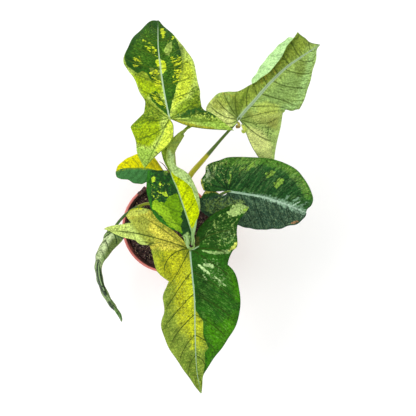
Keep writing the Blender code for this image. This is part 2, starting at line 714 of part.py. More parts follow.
def main():
    """Clear the scene and build every piece."""
    for thing in list(bpy.data.objects):
        bpy.data.objects.remove(thing)
    build_pot()
    build_soil()
    build_stem()
    for leaf in LEAVES:
        build_leaf(leaf)


main()
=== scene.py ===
"""Looks of a variegated arrowhead plant that stands in a plain round nursery pot.

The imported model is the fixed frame. Every leaf, petiole, the stem and the soil get a finer piece that stands
for their plain solid, and the pot keeps its solid and gets a finish. Metres, +Z up, origin in the middle of
the pot's underside. Leaves are set out on a plan seen from straight above. A place is across, down, height:
plan steps from the plan's top left corner, and the height over the table in millimetres. The tables write
places as texts such as "158,35,272 161,40,280".
"""
import logging
import math
import random
from dataclasses import dataclass, field, replace
from enum import Enum
from typing import Any, Optional, Sequence, Union

import bmesh
import bpy
import numpy
from bmesh.types import BMesh
from bpy.types import Material, Mesh, Object
from mathutils import Matrix, Vector, noise


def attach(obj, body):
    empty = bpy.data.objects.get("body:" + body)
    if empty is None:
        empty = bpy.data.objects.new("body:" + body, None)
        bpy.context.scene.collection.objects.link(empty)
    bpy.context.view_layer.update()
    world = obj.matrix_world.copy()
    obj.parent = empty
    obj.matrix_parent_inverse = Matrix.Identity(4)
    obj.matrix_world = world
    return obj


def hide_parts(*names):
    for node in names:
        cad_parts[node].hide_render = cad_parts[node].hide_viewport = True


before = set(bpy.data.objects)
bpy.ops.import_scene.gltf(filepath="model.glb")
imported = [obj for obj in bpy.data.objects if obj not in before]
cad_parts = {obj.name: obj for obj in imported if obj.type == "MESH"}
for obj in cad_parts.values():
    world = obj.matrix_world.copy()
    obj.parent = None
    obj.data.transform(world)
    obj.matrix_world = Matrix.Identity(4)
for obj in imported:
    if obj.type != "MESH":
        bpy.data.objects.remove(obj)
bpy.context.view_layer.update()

LOG = logging.getLogger("arrowhead_plant")
MM = 0.001
Spot = tuple[float, ...]
Row = tuple[float, ...]
Colour = tuple[float, float, float]
Faces = list[tuple[int, ...]]


def shade(code: str) -> Colour:
    """Linear colour of a screen colour.

    Args:
        code: the screen colour in six figures, such as "4a7c22".

    Returns:
        Its red, green and blue, each 0 to 1.
    """
    parts = [int(code[i:i + 2], 16) / 255 for i in (0, 2, 4)]
    linear = [p / 12.92 if p <= 0.04045 else ((p + 0.055) / 1.055) ** 2.4 for p in parts]
    return linear[0], linear[1], linear[2]


def places(text: str) -> list[tuple[float, ...]]:
    """The groups of numbers in a text such as "1,2,3 4,5,6"."""
    return [tuple(float(number) for number in group.split(",")) for group in text.split()]


# Plan and curves


@dataclass(frozen=True)
class Plan:
    """The view from straight above on which places are given.

    Attributes:
        height: height of the eye over the table.
        slope: sideways reach of one plan step for each metre below the eye.
        middle: plan place straight under the eye.
        pot_middle: plan place of the middle of the pot's rim.
        rim_height: height of the pot's rim.
    """

    height: float = 0.910
    slope: float = 0.00163
    middle: tuple[float, float] = (208.0, 208.0)
    pot_middle: tuple[float, float] = (168.0, 227.0)
    rim_height: float = 0.108

    def eye(self) -> Vector:
        """World place of the eye."""
        reach = (self.height - self.rim_height) * self.slope
        return Vector(((self.middle[0] - self.pot_middle[0]) * reach,
                       (self.pot_middle[1] - self.middle[1]) * reach, self.height))

    def place(self, across: float, down: float, height: float) -> Vector:
        """World point of a plan place.

        Args:
            across: plan steps from the left.
            down: plan steps from the top.
            height: millimetres over the table.

        Returns:
            The point, in metres.
        """
        eye = self.eye()
        z = height * MM
        reach = (self.height - z) * self.slope
        x = eye.x + (across - self.middle[0]) * reach
        y = eye.y + (self.middle[1] - down) * reach
        return Vector((x, y, z))

    def spot(self, point: Vector) -> tuple[float, float]:
        """Where a world point lies on the plan.

        Args:
            point: the point, in metres.

        Returns:
            Its place across and down.
        """
        eye = self.eye()
        reach = (self.height - point.z) * self.slope
        return self.middle[0] + (point.x - eye.x) / reach, self.middle[1] - (point.y - eye.y) / reach


PLAN = Plan()


def curve_point(points: Sequence[Vector], t: float) -> Vector:
    """Point on a smooth curve.

    Args:
        points: the points it goes through.
        t: how far along, in steps between points.

    Returns:
        The point at t.
    """
    last = len(points) - 1
    i = min(int(t), last - 1)
    f = t - i
    p1 = points[i]
    p2 = points[i + 1]
    p0 = points[i - 1] if i > 0 else 2 * p1 - p2
    p3 = points[i + 2] if i + 2 <= last else 2 * p2 - p1
    return 0.5 * (2 * p1 + (p2 - p0) * f + (2 * p0 - 5 * p1 + 4 * p2 - p3) * f**2
                  + (3 * p1 - p0 - 3 * p2 + p3) * f**3)


def evenly(points: Sequence[Vector], count: int, fine: int = 24) -> list[Vector]:
    """Points spaced evenly by length on a smooth curve.

    Args:
        points: the points it goes through.
        count: number of steps.
        fine: samples between two points.

    Returns:
        count + 1 points.
    """
    steps = (len(points) - 1) * fine
    dense = [curve_point(points, i / fine) for i in range(steps + 1)]
    reach = [0.0]
    for a, b in zip(dense, dense[1:]):
        reach.append(reach[-1] + (b - a).length)
    found = []
    i = 0
    for k in range(count + 1):
        want = reach[-1] * k / count
        while i < steps - 1 and reach[i + 1] < want:
            i += 1
        span = max(reach[i + 1] - reach[i], 1e-9)
        found.append(dense[i].lerp(dense[i + 1], held((want - reach[i]) / span)))
    return found


def length_of(points: Sequence[Vector]) -> float:
    """Length of the broken line through points."""
    return sum((b - a).length for a, b in zip(points, points[1:]))


def held(value: float) -> float:
    """The value held between 0 and 1."""
    return min(max(value, 0.0), 1.0)


def at_root(rows: Sequence[Row], root: float) -> Vector:
    """World point for a root value on a smooth curve.

    Args:
        rows: (root, across, down, height) of the points that it goes through.
        root: the root value.

    Returns:
        The point, in metres.
    """
    points = [PLAN.place(*row[1:]) for row in rows]
    for i in range(len(rows) - 1):
        low = rows[i][0]
        high = rows[i + 1][0]
        if root <= high or i == len(rows) - 2:
            return curve_point(points, i + held((root - low) / (high - low)))
    return points[-1]


def smooth_step(value: float) -> float:
    """0 to 1 with soft ends."""
    return held(value) ** 2 * (3 - 2 * held(value))


def linked(name: str, data: Optional[bpy.types.ID]) -> Object:
    """A new object in the scene.

    Args:
        name: its name.
        data: its mesh, light or camera.

    Returns:
        The object.
    """
    made = bpy.data.objects.new(name, data)
    bpy.context.scene.collection.objects.link(made)
    return made


def mesh_of(name: str, points: Sequence[Vector], faces: Faces, values: dict[str, Any]) -> Mesh:
    """A new mesh.

    Args:
        name: its name.
        points: its points.
        faces: the points' numbers round each face.
        values: numbers to store on its points, under their names.

    Returns:
        The mesh.
    """
    data = bpy.data.meshes.new(name)
    data.from_pydata(points, [], faces)
    data.update()
    for key, numbers in values.items():
        data.attributes.new(key, "FLOAT", "POINT").data.foreach_set("value", numbers)
    return data


# Shader maths

Number = Union["Wire", float]


class Wire:
    """One output socket of a node sheet, for use in Python expressions."""

    def __init__(self, sheet: "NodeSheet", socket: Any) -> None:
        """Keep the socket and the sheet that it is on."""
        self.sheet = sheet
        self.socket = socket

    def maths(self, operation: str, *values: Number) -> "Wire":
        """A Math node on this wire, with its other inputs in order."""
        return self.sheet.node("ShaderNodeMath", {"operation": operation}, dict(enumerate((self, *values))))

    def __add__(self, other: Number) -> "Wire":
        """self + other."""
        return self.maths("ADD", other)

    __radd__ = __add__

    def __sub__(self, other: Number) -> "Wire":
        """self - other."""
        return self.maths("SUBTRACT", other)

    def __rsub__(self, other: float) -> "Wire":
        """other - self."""
        return self.maths("MULTIPLY", -1.0) + other

    def __mul__(self, other: Number) -> "Wire":
        """self * other."""
        return self.maths("MULTIPLY", other)

    __rmul__ = __mul__

    def __abs__(self) -> "Wire":
        """Size of the value without its sign."""
        return self.maths("ABSOLUTE")

    def most(self, other: Number) -> "Wire":
        """The larger of two values."""
        return self.maths("MAXIMUM", other)

    def waves(self) -> "Wire":
        """Cosine of the value."""
        return self.maths("COSINE")

    def to_whole(self) -> "Wire":
        """Distance to the nearest whole number."""
        return abs((self + 0.5).maths("FRACT") - 0.5)

    def step(self, low: float, high: float) -> "Wire":
        """Soft step from 0 to 1.

        Args:
            low: the value where it is 0; this may be the larger of the two.
            high: the value where it is 1.

        Returns:
            The step.
        """
        if low > high:
            return 1 - self.step(high, low)
        return self.sheet.node("ShaderNodeMapRange", {"interpolation_type": "SMOOTHSTEP"},
                               {"Value": self, "From Min": low, "From Max": high})


class NodeSheet:
    """A material's nodes, with a Principled shader at the end."""

    def __init__(self, name: str) -> None:
        """Start an empty sheet for a new material.

        Args:
            name: the material's name.
        """
        self.material = bpy.data.materials.new(name)
        self.material.use_nodes = True
        self.tree = self.material.node_tree
        self.shader = self.tree.nodes["Principled BSDF"]
        self._kept: dict[str, Wire] = {}

    def node(self, kind: str, settings: dict[str, Any], inputs: dict[Any, Any], output: Any = 0) -> Wire:
        """Add a node.

        Args:
            kind: the node's type.
            settings: its own properties, set first.
            inputs: socket names or numbers and the value or wire of each.
            output: name or number of the wanted output.

        Returns:
            The wanted output.
        """
        made = self.tree.nodes.new(kind)
        for key, value in settings.items():
            setattr(made, key, value)
        for key, value in inputs.items():
            if isinstance(value, Wire):
                self.tree.links.new(value.socket, made.inputs[key])
            else:
                made.inputs[key].default_value = value
        return Wire(self, made.outputs[output])

    def value(self, name: str) -> Wire:
        """A value that is stored on the mesh's points.

        Args:
            name: the point attribute's name.

        Returns:
            The value; the same node serves every call.
        """
        if name not in self._kept:
            self._kept[name] = self.node("ShaderNodeAttribute", {"attribute_name": name}, {}, "Fac")
        return self._kept[name]

    def place(self) -> Wire:
        """The surface point in the object's own metres."""
        if "place" not in self._kept:
            self._kept["place"] = self.node("ShaderNodeTexCoord", {}, {}, "Object")
        return self._kept["place"]

    def vector(self, x: Number, y: Number, z: Number) -> Wire:
        """A vector from three values."""
        return self.node("ShaderNodeCombineXYZ", {}, {"X": x, "Y": y, "Z": z})

    def grain(self, scale: float, detail: float = 2, at: Optional[Wire] = None, rough: float = 0.5) -> Wire:
        """Noise from 0 to 1.

        Args:
            scale: lumps for each unit of the place.
            detail: number of finer layers.
            at: the place; the surface point if left out.
            rough: weight of the finer layers.

        Returns:
            The noise value.
        """
        return self.node("ShaderNodeTexNoise", {}, {"Vector": at or self.place(), "Scale": scale,
                                                    "Detail": detail, "Roughness": rough}, "Fac")

    def cells(self, scale: float) -> Wire:
        """Distance to the nearest border in a pattern of cells."""
        return self.node("ShaderNodeTexVoronoi", {"feature": "DISTANCE_TO_EDGE"},
                         {"Vector": self.place(), "Scale": scale}, "Distance")

    def mix(self, factor: Wire, low: Union[Wire, str], high: Union[Wire, str]) -> Wire:
        """Mix of two colours.

        Args:
            factor: share of the second one.
            low: first colour, a wire or a screen colour in six figures.
            high: second colour, the same.

        Returns:
            The mixed colour.
        """
        full = [value if isinstance(value, Wire) else (*shade(value), 1.0) for value in (low, high)]
        return self.node("ShaderNodeMix", {"data_type": "RGBA", "clamp_factor": True},
                         {0: factor, 6: full[0], 7: full[1]}, 2)

    def dim(self, colour: Union[Wire, str], amount: Wire) -> Wire:
        """A colour made darker or lighter by a value round 1."""
        start = colour if isinstance(colour, Wire) else shade(colour)
        return self.node("ShaderNodeVectorMath", {"operation": "SCALE"}, {0: start, "Scale": amount})

    def spread(self, vector: Wire, factors: Colour) -> Wire:
        """A vector with each of its parts multiplied."""
        return self.node("ShaderNodeVectorMath", {"operation": "MULTIPLY"}, {0: vector, 1: factors})

    def bump(self, height: Wire, depth: float) -> Wire:
        """Normal from a height of 0 to 1 that stands for a depth in metres."""
        inputs = {"Height": height, "Distance": depth, "Strength": 1.0}
        return self.node("ShaderNodeBump", {}, inputs, "Normal")

    def finish(self, **sockets: Any) -> Material:
        """Set the Principled shader's sockets.

        Args:
            sockets: wires, numbers or screen colours, under the sockets' names with _ for spaces.

        Returns:
            The material.
        """
        for key, value in sockets.items():
            socket = self.shader.inputs[key.replace("_", " ").title().replace("Ior", "IOR")]
            if isinstance(value, Wire):
                self.tree.links.new(value.socket, socket)
            else:
                socket.default_value = (*shade(value), 1.0) if isinstance(value, str) else value
        return self.material


# Finishes


# Plan steps: more than any place lies from an outline, and the most that a layer's depth is held to.
FAR_OFF = 99.0
DEEPEST = 12.0
# What the midrib's points store as their half, between 1 and 2.
RIB_HALF = 1.5


class Side(Enum):
    """The two sides of a blade; the value starts the names of that side's point values."""

    UPPER = "upper"
    UNDER = "under"


@dataclass(frozen=True)
class Area:
    """Part of a blade's plan: the inside of an outline, or a chain of joined circles.

    Attributes:
        spots: (across, down) corners of the outline, or (across, down, radius) of the circles.
        half: 1 or 2 keeps it to that half of the blade, 0 to neither.
    """

    spots: Sequence[Spot]
    half: int = 0

    def depth(self, across: numpy.ndarray, down: numpy.ndarray) -> numpy.ndarray:
        """How far inside the area plan places are.

        Args:
            across: their places across.
            down: their places down.

        Returns:
            Plan steps from its edge; less than 0 outside.
        """
        outline = len(self.spots[0]) == 2
        ends = (*self.spots[1:], self.spots[0]) if outline else self.spots[1:]
        gap = numpy.full(across.shape, FAR_OFF)
        inside = numpy.zeros(across.shape, bool)
        for a, b in zip(self.spots, ends):
            dx, dy = b[0] - a[0], b[1] - a[1]
            t = numpy.clip(((across - a[0]) * dx + (down - a[1]) * dy) / (dx * dx + dy * dy), 0, 1)
            off = numpy.hypot(across - a[0] - t * dx, down - a[1] - t * dy)
            if not outline:
                off -= a[2] + (b[2] - a[2]) * t
            elif dy:
                inside ^= ((a[1] > down) != (b[1] > down)) & (across < a[0] + dx * (down - a[1]) / dy)
            gap = numpy.minimum(gap, off)
        return numpy.where(inside, gap, -gap)


@dataclass(frozen=True)
class Layer:
    """A tone that lies over parts of a blade.

    Attributes:
        colour: its colour.
        areas: where it lies.
        ragged: how far its border wanders, in plan steps.
        soft: half the width over which it fades out, in plan steps.
        dots: 0 for a solid tone; otherwise it is made of dots, this many lumps for each metre.
        cover: share of the area that dots cover.
        flow: whether the dots are drawn out along the veins; dots then counts lumps for each vein.
        share: how strongly it hides what is below.
    """

    colour: str
    areas: Sequence[Area]
    ragged: float = 1.2
    soft: float = 0.35
    dots: float = 0.0
    cover: float = 0.4
    flow: bool = False
    share: float = 1.0

    def depths(self, spots: numpy.ndarray, halves: numpy.ndarray) -> numpy.ndarray:
        """Depth of plan places in the layer's areas.

        Args:
            spots: two columns, across and down.
            halves: the half that each place belongs to, RIB_HALF for the midrib.

        Returns:
            The depths in plan steps, none beyond DEEPEST.
        """
        best = numpy.full(len(spots), -DEEPEST)
        for part in self.areas:
            found = part.depth(spots[:, 0], spots[:, 1])
            if part.half:
                found = numpy.where(abs(halves - part.half) < 1, found, -DEEPEST)
            best = numpy.maximum(best, found)
        return numpy.clip(best, -DEEPEST, DEEPEST)

    def cover_up(self, s: NodeSheet, name: str, wander: Wire, along: Wire, below: Union[Wire, str]) -> Wire:
        """Mix the layer over a colour.

        Args:
            s: the material's sheet.
            name: the point value with the layer's depths.
            wander: noise of about -1 to 1 that shifts borders.
            along: the place in steps of veins.
            below: the colour below.

        Returns:
            The mixed colour.
        """
        mask = (s.value(name) + wander * self.ragged).step(-self.soft, self.soft)
        if self.dots:
            grit = s.grain(self.dots, 3.0, along if self.flow else None, 0.7)
            reach = 0.3
            low = 0.62 - 0.24 * self.cover + reach
            mask = (grit + mask * reach).step(low, low + 0.05)
        return s.mix(mask * self.share, below, self.colour)


def area(half: int, spots: str) -> Area:
    """An area of one half of the blade, or of both for 0."""
    return Area(places(spots), half)


def tone(colour: str, *areas: Area, **settings: Any) -> Layer:
    """A layer of a screen colour over some areas, with its other fields as settings."""
    return Layer(colour, areas, **settings)


@dataclass(frozen=True)
class LeafFinish:
    """Skin of one side of a leaf.

    Attributes:
        ground: colour where no layer lies.
        vein: colour of the side veins.
        rib: colour of the midrib.
        layers: the tones that lie over the ground, lowest first.
        vein_share: how strongly the side veins show.
        rib_share: how strongly the midrib shows.
        net: how strongly the fine net of veins shows.
        mottle: how much the colour varies.
        swell: strength of the painted light and shade of the quilting: the skin is painted lighter midway
            between side veins and darker along them.
        gloss: roughness.
        relief: depth of the vein bump.
        clouds, blotches, specks: lumps for each metre of the three grains.
    """

    ground: str
    vein: str
    rib: str
    layers: Sequence[Layer] = ()
    vein_share: float = 0.6
    rib_share: float = 0.9
    net: float = 0.22
    mottle: float = 1.0
    swell: float = 0.07
    gloss: float = 0.5
    relief: float = 0.0004
    clouds: float = 75.0
    blotches: float = 330.0
    specks: float = 500.0

    def make(self, name: str, side: Side) -> Material:
        """Make the material.

        Args:
            name: the material's name.
            side: the side of the blade that it is for.

        Returns:
            The material.
        """
        s = NodeSheet(name)
        vein = s.value("vein")
        along = s.vector(vein * 3.0, s.value("across") * 1.4, s.value("half") * 5.0)
        drawn = s.grain(2.2, 4.0, along, 0.65) - 0.5
        blotch = s.grain(self.blotches, 3.0, rough=0.6) - 0.5
        fine = s.grain(self.specks, 3.0, rough=0.75) - 0.5
        wander = drawn * 2.6 + blotch * 3.2 + fine * 1.6
        colour: Union[Wire, str] = self.ground
        for number, layer in enumerate(self.layers):
            colour = layer.cover_up(s, f"{side.value}_{number}", wander, along, colour)
        clouds = s.grain(self.clouds, 2.0) - 0.5
        # Painted light and shade of the quilting: darker on the side veins, lighter midway between them,
        # fading out towards the midrib.
        painted_quilt_shade = (vein.to_whole() * 4.0 - 1.0) * s.value("across").step(0.0, 0.3)
        shift = (clouds * 0.3 + fine * 2.2 + blotch * 0.8 + drawn * 0.9) * self.mottle
        shift = shift + painted_quilt_shade * self.swell + 1.0
        colour = s.dim(colour, shift)
        off_vein = vein.to_whole() * s.value("vein_mm")
        line = (off_vein + fine * 0.5).step(0.95, 0.3) * s.value("across").step(0.99, 0.75)
        twigs = (vein * 4.0).to_whole() * s.value("vein_mm") * 0.25 + fine * 0.3
        line = line.most(twigs.step(0.30, 0.05) * s.value("across").step(0.1, 0.4) * 0.4)
        net = s.cells(self.blotches).step(0.10, 0.02)
        colour = s.mix(net * self.net, colour, self.vein)
        colour = s.mix(line * self.vein_share, colour, self.vein)
        off_rib = s.value("rib") + fine * 0.8
        rib = off_rib.step(1.15, 0.7)
        colour = s.mix(rib * self.rib_share, colour, self.rib)
        groove = off_rib.step(0.35, 0.05) * rib
        colour = s.mix(groove * 0.25, colour, self.vein)
        height = 1 - line * 0.8 - net * 0.18 - groove * 0.5 + fine * 0.4
        return s.finish(base_color=colour, roughness=fine * 0.2 + line * 0.1 + self.gloss,
                        normal=s.bump(height, self.relief), specular_ior_level=0.05)


@dataclass(frozen=True)
class StalkFinish:
    """Skin of a petiole, in two tones that meet somewhere along it.

    Attributes:
        lower: colour near the stem.
        upper: colour near the blade.
        change: where the tones meet, 0 at the stem to 1 at the blade.
        gloss: roughness.
    """

    lower: str
    upper: str
    change: float = 0.5
    gloss: float = 0.38

    def make(self, name: str) -> Material:
        """Make the material.

        Args:
            name: the material's name.

        Returns:
            The material.
        """
        s = NodeSheet(name)
        along = s.value("along")
        turn = s.value("around")
        lines = s.grain(3.0, 3.0, s.vector(turn * 5.0, along * 3.0, 0.0))
        fine = s.grain(700.0, 2.0)
        high = (along + (lines - 0.5) * 0.06).step(self.change - 0.012, self.change + 0.012)
        colour = s.mix(high, self.lower, self.upper)
        colour = s.dim(colour, (lines - 0.5) * 1.1 + (fine - 0.5) * 0.5 - (turn - 0.5) * 0.3 + 1.0)
        height = lines * 0.7 + fine * 0.3
        return s.finish(base_color=colour, roughness=(fine - 0.5) * 0.2 + self.gloss,
                        normal=s.bump(height, 0.00025), specular_ior_level=0.2)


@dataclass(frozen=True)
class StemFinish:
    """Green stem with brown scars round its nodes."""

    green: str = "5c6b25"
    scar: str = "6b4f2c"

    def make(self, name: str) -> Material:
        """Make the material.

        Args:
            name: the material's name.

        Returns:
            The material.
        """
        s = NodeSheet(name)
        ring = s.value("along")
        lumps = s.grain(240.0, 3.0)
        band = (ring.to_whole() + (lumps - 0.5) * 0.16).step(0.16, 0.03)
        colour = s.mix(band * 0.85, self.green, self.scar)
        colour = s.dim(colour, (lumps - 0.5) * 0.8 + 1.0)
        return s.finish(base_color=colour, roughness=(lumps - 0.5) * 0.3 + 0.6,
                        normal=s.bump(lumps + band * 0.5, 0.0005))


@dataclass(frozen=True)
class PotFinish:
    """Moulded pinkish plastic with faint turning rings, scuffs, soil specks near the rim, and painted shade
    with peat stain inside the wall.
    """

    plastic: str = "cf6f66"
    worn: str = "dc8a80"
    # Near-black: specks of soil near the rim, and painted shade on the inside of the wall.
    dust_and_shade: str = "120b0a"
    peat: str = "5b4c40"
    rim_height: float = 0.108
    ring_step: float = 0.0011

    def make(self, name: str) -> Material:
        """Make the material.

        Args:
            name: the material's name.

        Returns:
            The material.
        """
        s = NodeSheet(name)
        spot = s.place()
        height = s.node("ShaderNodeSeparateXYZ", {}, {0: spot}, "Z")
        clouds = s.grain(45.0, 4.0)
        fine = s.grain(900.0, 2.0)
        scuffs = s.grain(30.0, 4.0, s.spread(spot, (1.0, 1.0, 9.0)), 0.65)
        colour = s.mix(clouds.step(0.35, 0.75) * 0.35, self.plastic, self.worn)
        colour = s.mix(scuffs.step(0.60, 0.72) * 0.30, colour, self.worn)
        outward = s.spread(spot, (1.0, 1.0, 0.0))
        normal = s.node("ShaderNodeNewGeometry", {}, {}, "Normal")
        settings = {"operation": "DOT_PRODUCT"}
        facing = s.node("ShaderNodeVectorMath", settings, {0: outward, 1: normal}, "Value")
        lip = height.step(self.rim_height - 0.0025, self.rim_height - 0.0008)
        wall = facing.step(-0.005, -0.02) * height.step(0.05, 0.06)
        # Painted shade with some peat stain: patches of the inside wall between the soil and the lip go
        # near-black or peat brown.
        shade_and_dust_mask = wall * (1 - lip) * ((clouds + fine) * 0.5).step(0.25, 0.45)
        shade_and_peat = s.mix(s.grain(430.0, 3.0).step(0.52, 0.68) * 0.8, self.dust_and_shade, self.peat)
        colour = s.mix(shade_and_dust_mask * 0.95, colour, shade_and_peat)
        specks = s.grain(520.0, 3.0).step(0.68, 0.74) * height.step(0.085, 0.108)
        colour = s.mix(specks * 0.5, colour, self.dust_and_shade)
        colour = s.dim(colour, (fine - 0.5) * 0.12 + 1.0)
        rings = (height * (2 * math.pi / self.ring_step)).waves() * 0.5 + 0.5
        return s.finish(base_color=colour, roughness=(clouds - 0.5) * 0.25 + shade_and_dust_mask * 0.3 + 0.42,
                        normal=s.bump(rings * 0.3 + fine * 0.3 + scuffs * 0.4, 0.00012))


@dataclass(frozen=True)
class PeatFinish:
    """Dark damp peat."""

    dark: str = "170e0e"
    brown: str = "553a38"
    pale: str = "b09c90"

    def make(self, name: str) -> Material:
        """Make the material.

        Args:
            name: the material's name.

        Returns:
            The material.
        """
        s = NodeSheet(name)
        lumps = s.grain(260.0, 4.0, rough=0.65)
        fine = s.grain(1300.0, 2.0)
        colour = s.mix(lumps.step(0.38, 0.66), self.dark, self.brown)
        colour = s.mix(s.grain(480.0, 3.0).step(0.61, 0.67) * 0.75, colour, self.pale)
        colour = s.dim(colour, (fine - 0.5) * 0.7 + 0.9)
        return s.finish(base_color=colour, roughness=(fine - 0.5) * 0.2 + 0.85,
                        normal=s.bump(lumps * 0.6 + fine * 0.4, 0.0012), specular_ior_level=0.25)


@dataclass(frozen=True)
class FibreFinish:
    """Dry straw and root fibre."""

    low: str = "8f7358"
    high: str = "cdb898"

    def make(self, name: str) -> Material:
        """Make the material.

        Args:
            name: the material's name.

        Returns:
            The material.
        """
        s = NodeSheet(name)
        fine = s.grain(600.0, 3.0)
        colour = s.mix(s.grain(90.0, 2.0).step(0.35, 0.65), self.low, self.high)
        return s.finish(base_color=s.dim(colour, (fine - 0.5) * 0.6 + 1.0), roughness=fine * 0.2 + 0.6,
                        normal=s.bump(fine, 0.0002))


# Leaves


@dataclass
class Half:
    """One half of a blade, on one side of the midrib.

    Attributes:
        side: stretches of the margin from the tip to the shoulder, as (root, across, down, height). The
            root is how far along the midrib that point's vein starts, 0 at the tip to 1 at the petiole.
        lobe: stretches of the margin from the shoulder to the tip of the basal lobe.
        inner: places along the lobe's inner edge, from the petiole to the lobe's tip.
        fold: where the half turns up and back over itself, as (root, across, down, height).
        ramp: over how much of the root's range the fold opens out at each of its ends.
        bend_power: how soon the bend of the inner edge fades among the lobe's other sections.
        rise: how far the turned-over part bulges up, in millimetres.
        arch: how far the middle of the half stands above a flat sheet, as a share of its width.
        veins: number of side veins from the midrib.
        lobe_veins: number of veins in the basal lobe.
    """

    side: list[list[Row]]
    lobe: list[list[Spot]]
    inner: list[Spot]
    fold: list[Row] = field(default_factory=list)
    ramp: float = 0.05
    bend_power: float = 2.0
    rise: float = 2.0
    arch: float = 0.06
    veins: float = 6.0
    lobe_veins: float = 2.0

    def side_point(self, root: float) -> Vector:
        """Margin point for a root value.

        Args:
            root: the root value.

        Returns:
            The point, in metres.
        """
        for stretch in self.side:
            if root <= stretch[-1][0] + 1e-9:
                return at_root(stretch, root)
        return PLAN.place(*self.side[-1][-1][1:])

    def fold_share(self, root: float) -> float:
        """How much of the turned-over section holds at a root value.

        Args:
            root: the root value.

        Returns:
            The share, 0 to 1.
        """
        if not self.fold:
            return 0.0
        first = self.fold[0][0]
        last = self.fold[-1][0]
        return smooth_step((root - first) / self.ramp) * smooth_step((last - root) / self.ramp)

    def section(self, root: float, start: Vector, rows: int) -> list[Vector]:
        """Points from the midrib to the margin.

        Args:
            root: the section's root value.
            start: its point on the midrib.
            rows: number of steps.

        Returns:
            rows + 1 points.
        """
        end = self.side_point(root)
        share = self.fold_share(root)
        parts = 4
        keys = [start.lerp(end, i / parts) for i in range(parts + 1)]
        if share > 0:
            edge = at_root(self.fold, root)
            top = edge.lerp(end, 0.5) + Vector((0, 0, self.rise * MM))
            turned = [start, start.lerp(edge, 0.55), edge, top, end]
            keys = [flat.lerp(turn, share) for flat, turn in zip(keys, turned)]
        points = []
        for row in range(rows + 1):
            point = curve_point(keys, parts * row / rows)
            point.z += (1 - share) * self.arch * (end - start).length * math.sin(math.pi * row / rows)
            points.append(point)
        return points

    def lobe_sections(self, junction: Vector, rows: int, width: float) -> list[list[Vector]]:
        """Sections of the basal lobe.

        Args:
            junction: where the petiole meets the blade.
            rows: steps from there to the margin.
            width: distance between sections along the margin.

        Returns:
            The sections, from just past the shoulder to the lobe's inner edge.
        """
        margin: list[Vector] = []
        for stretch in self.lobe:
            line = [PLAN.place(*spot) for spot in stretch]
            count = max(1, round(length_of(line) / width))
            margin += evenly(line, count)[1:]
        tip = margin[-1]
        inner = evenly([junction] + [PLAN.place(*spot) for spot in self.inner] + [tip], rows)
        bend = [point - junction.lerp(tip, i / rows) for i, point in enumerate(inner)]
        found = []
        for k, end in enumerate(margin, 1):
            weight = (k / len(margin)) ** self.bend_power
            scale = weight * (end - junction).length / (tip - junction).length
            arch = (1 - weight) * self.arch * (end - junction).length
            column = []
            for row in range(rows + 1):
                point = junction.lerp(end, row / rows) + scale * bend[row]
                point.z += arch * math.sin(math.pi * row / rows)
                column.append(point)
            found.append(column)
        return found


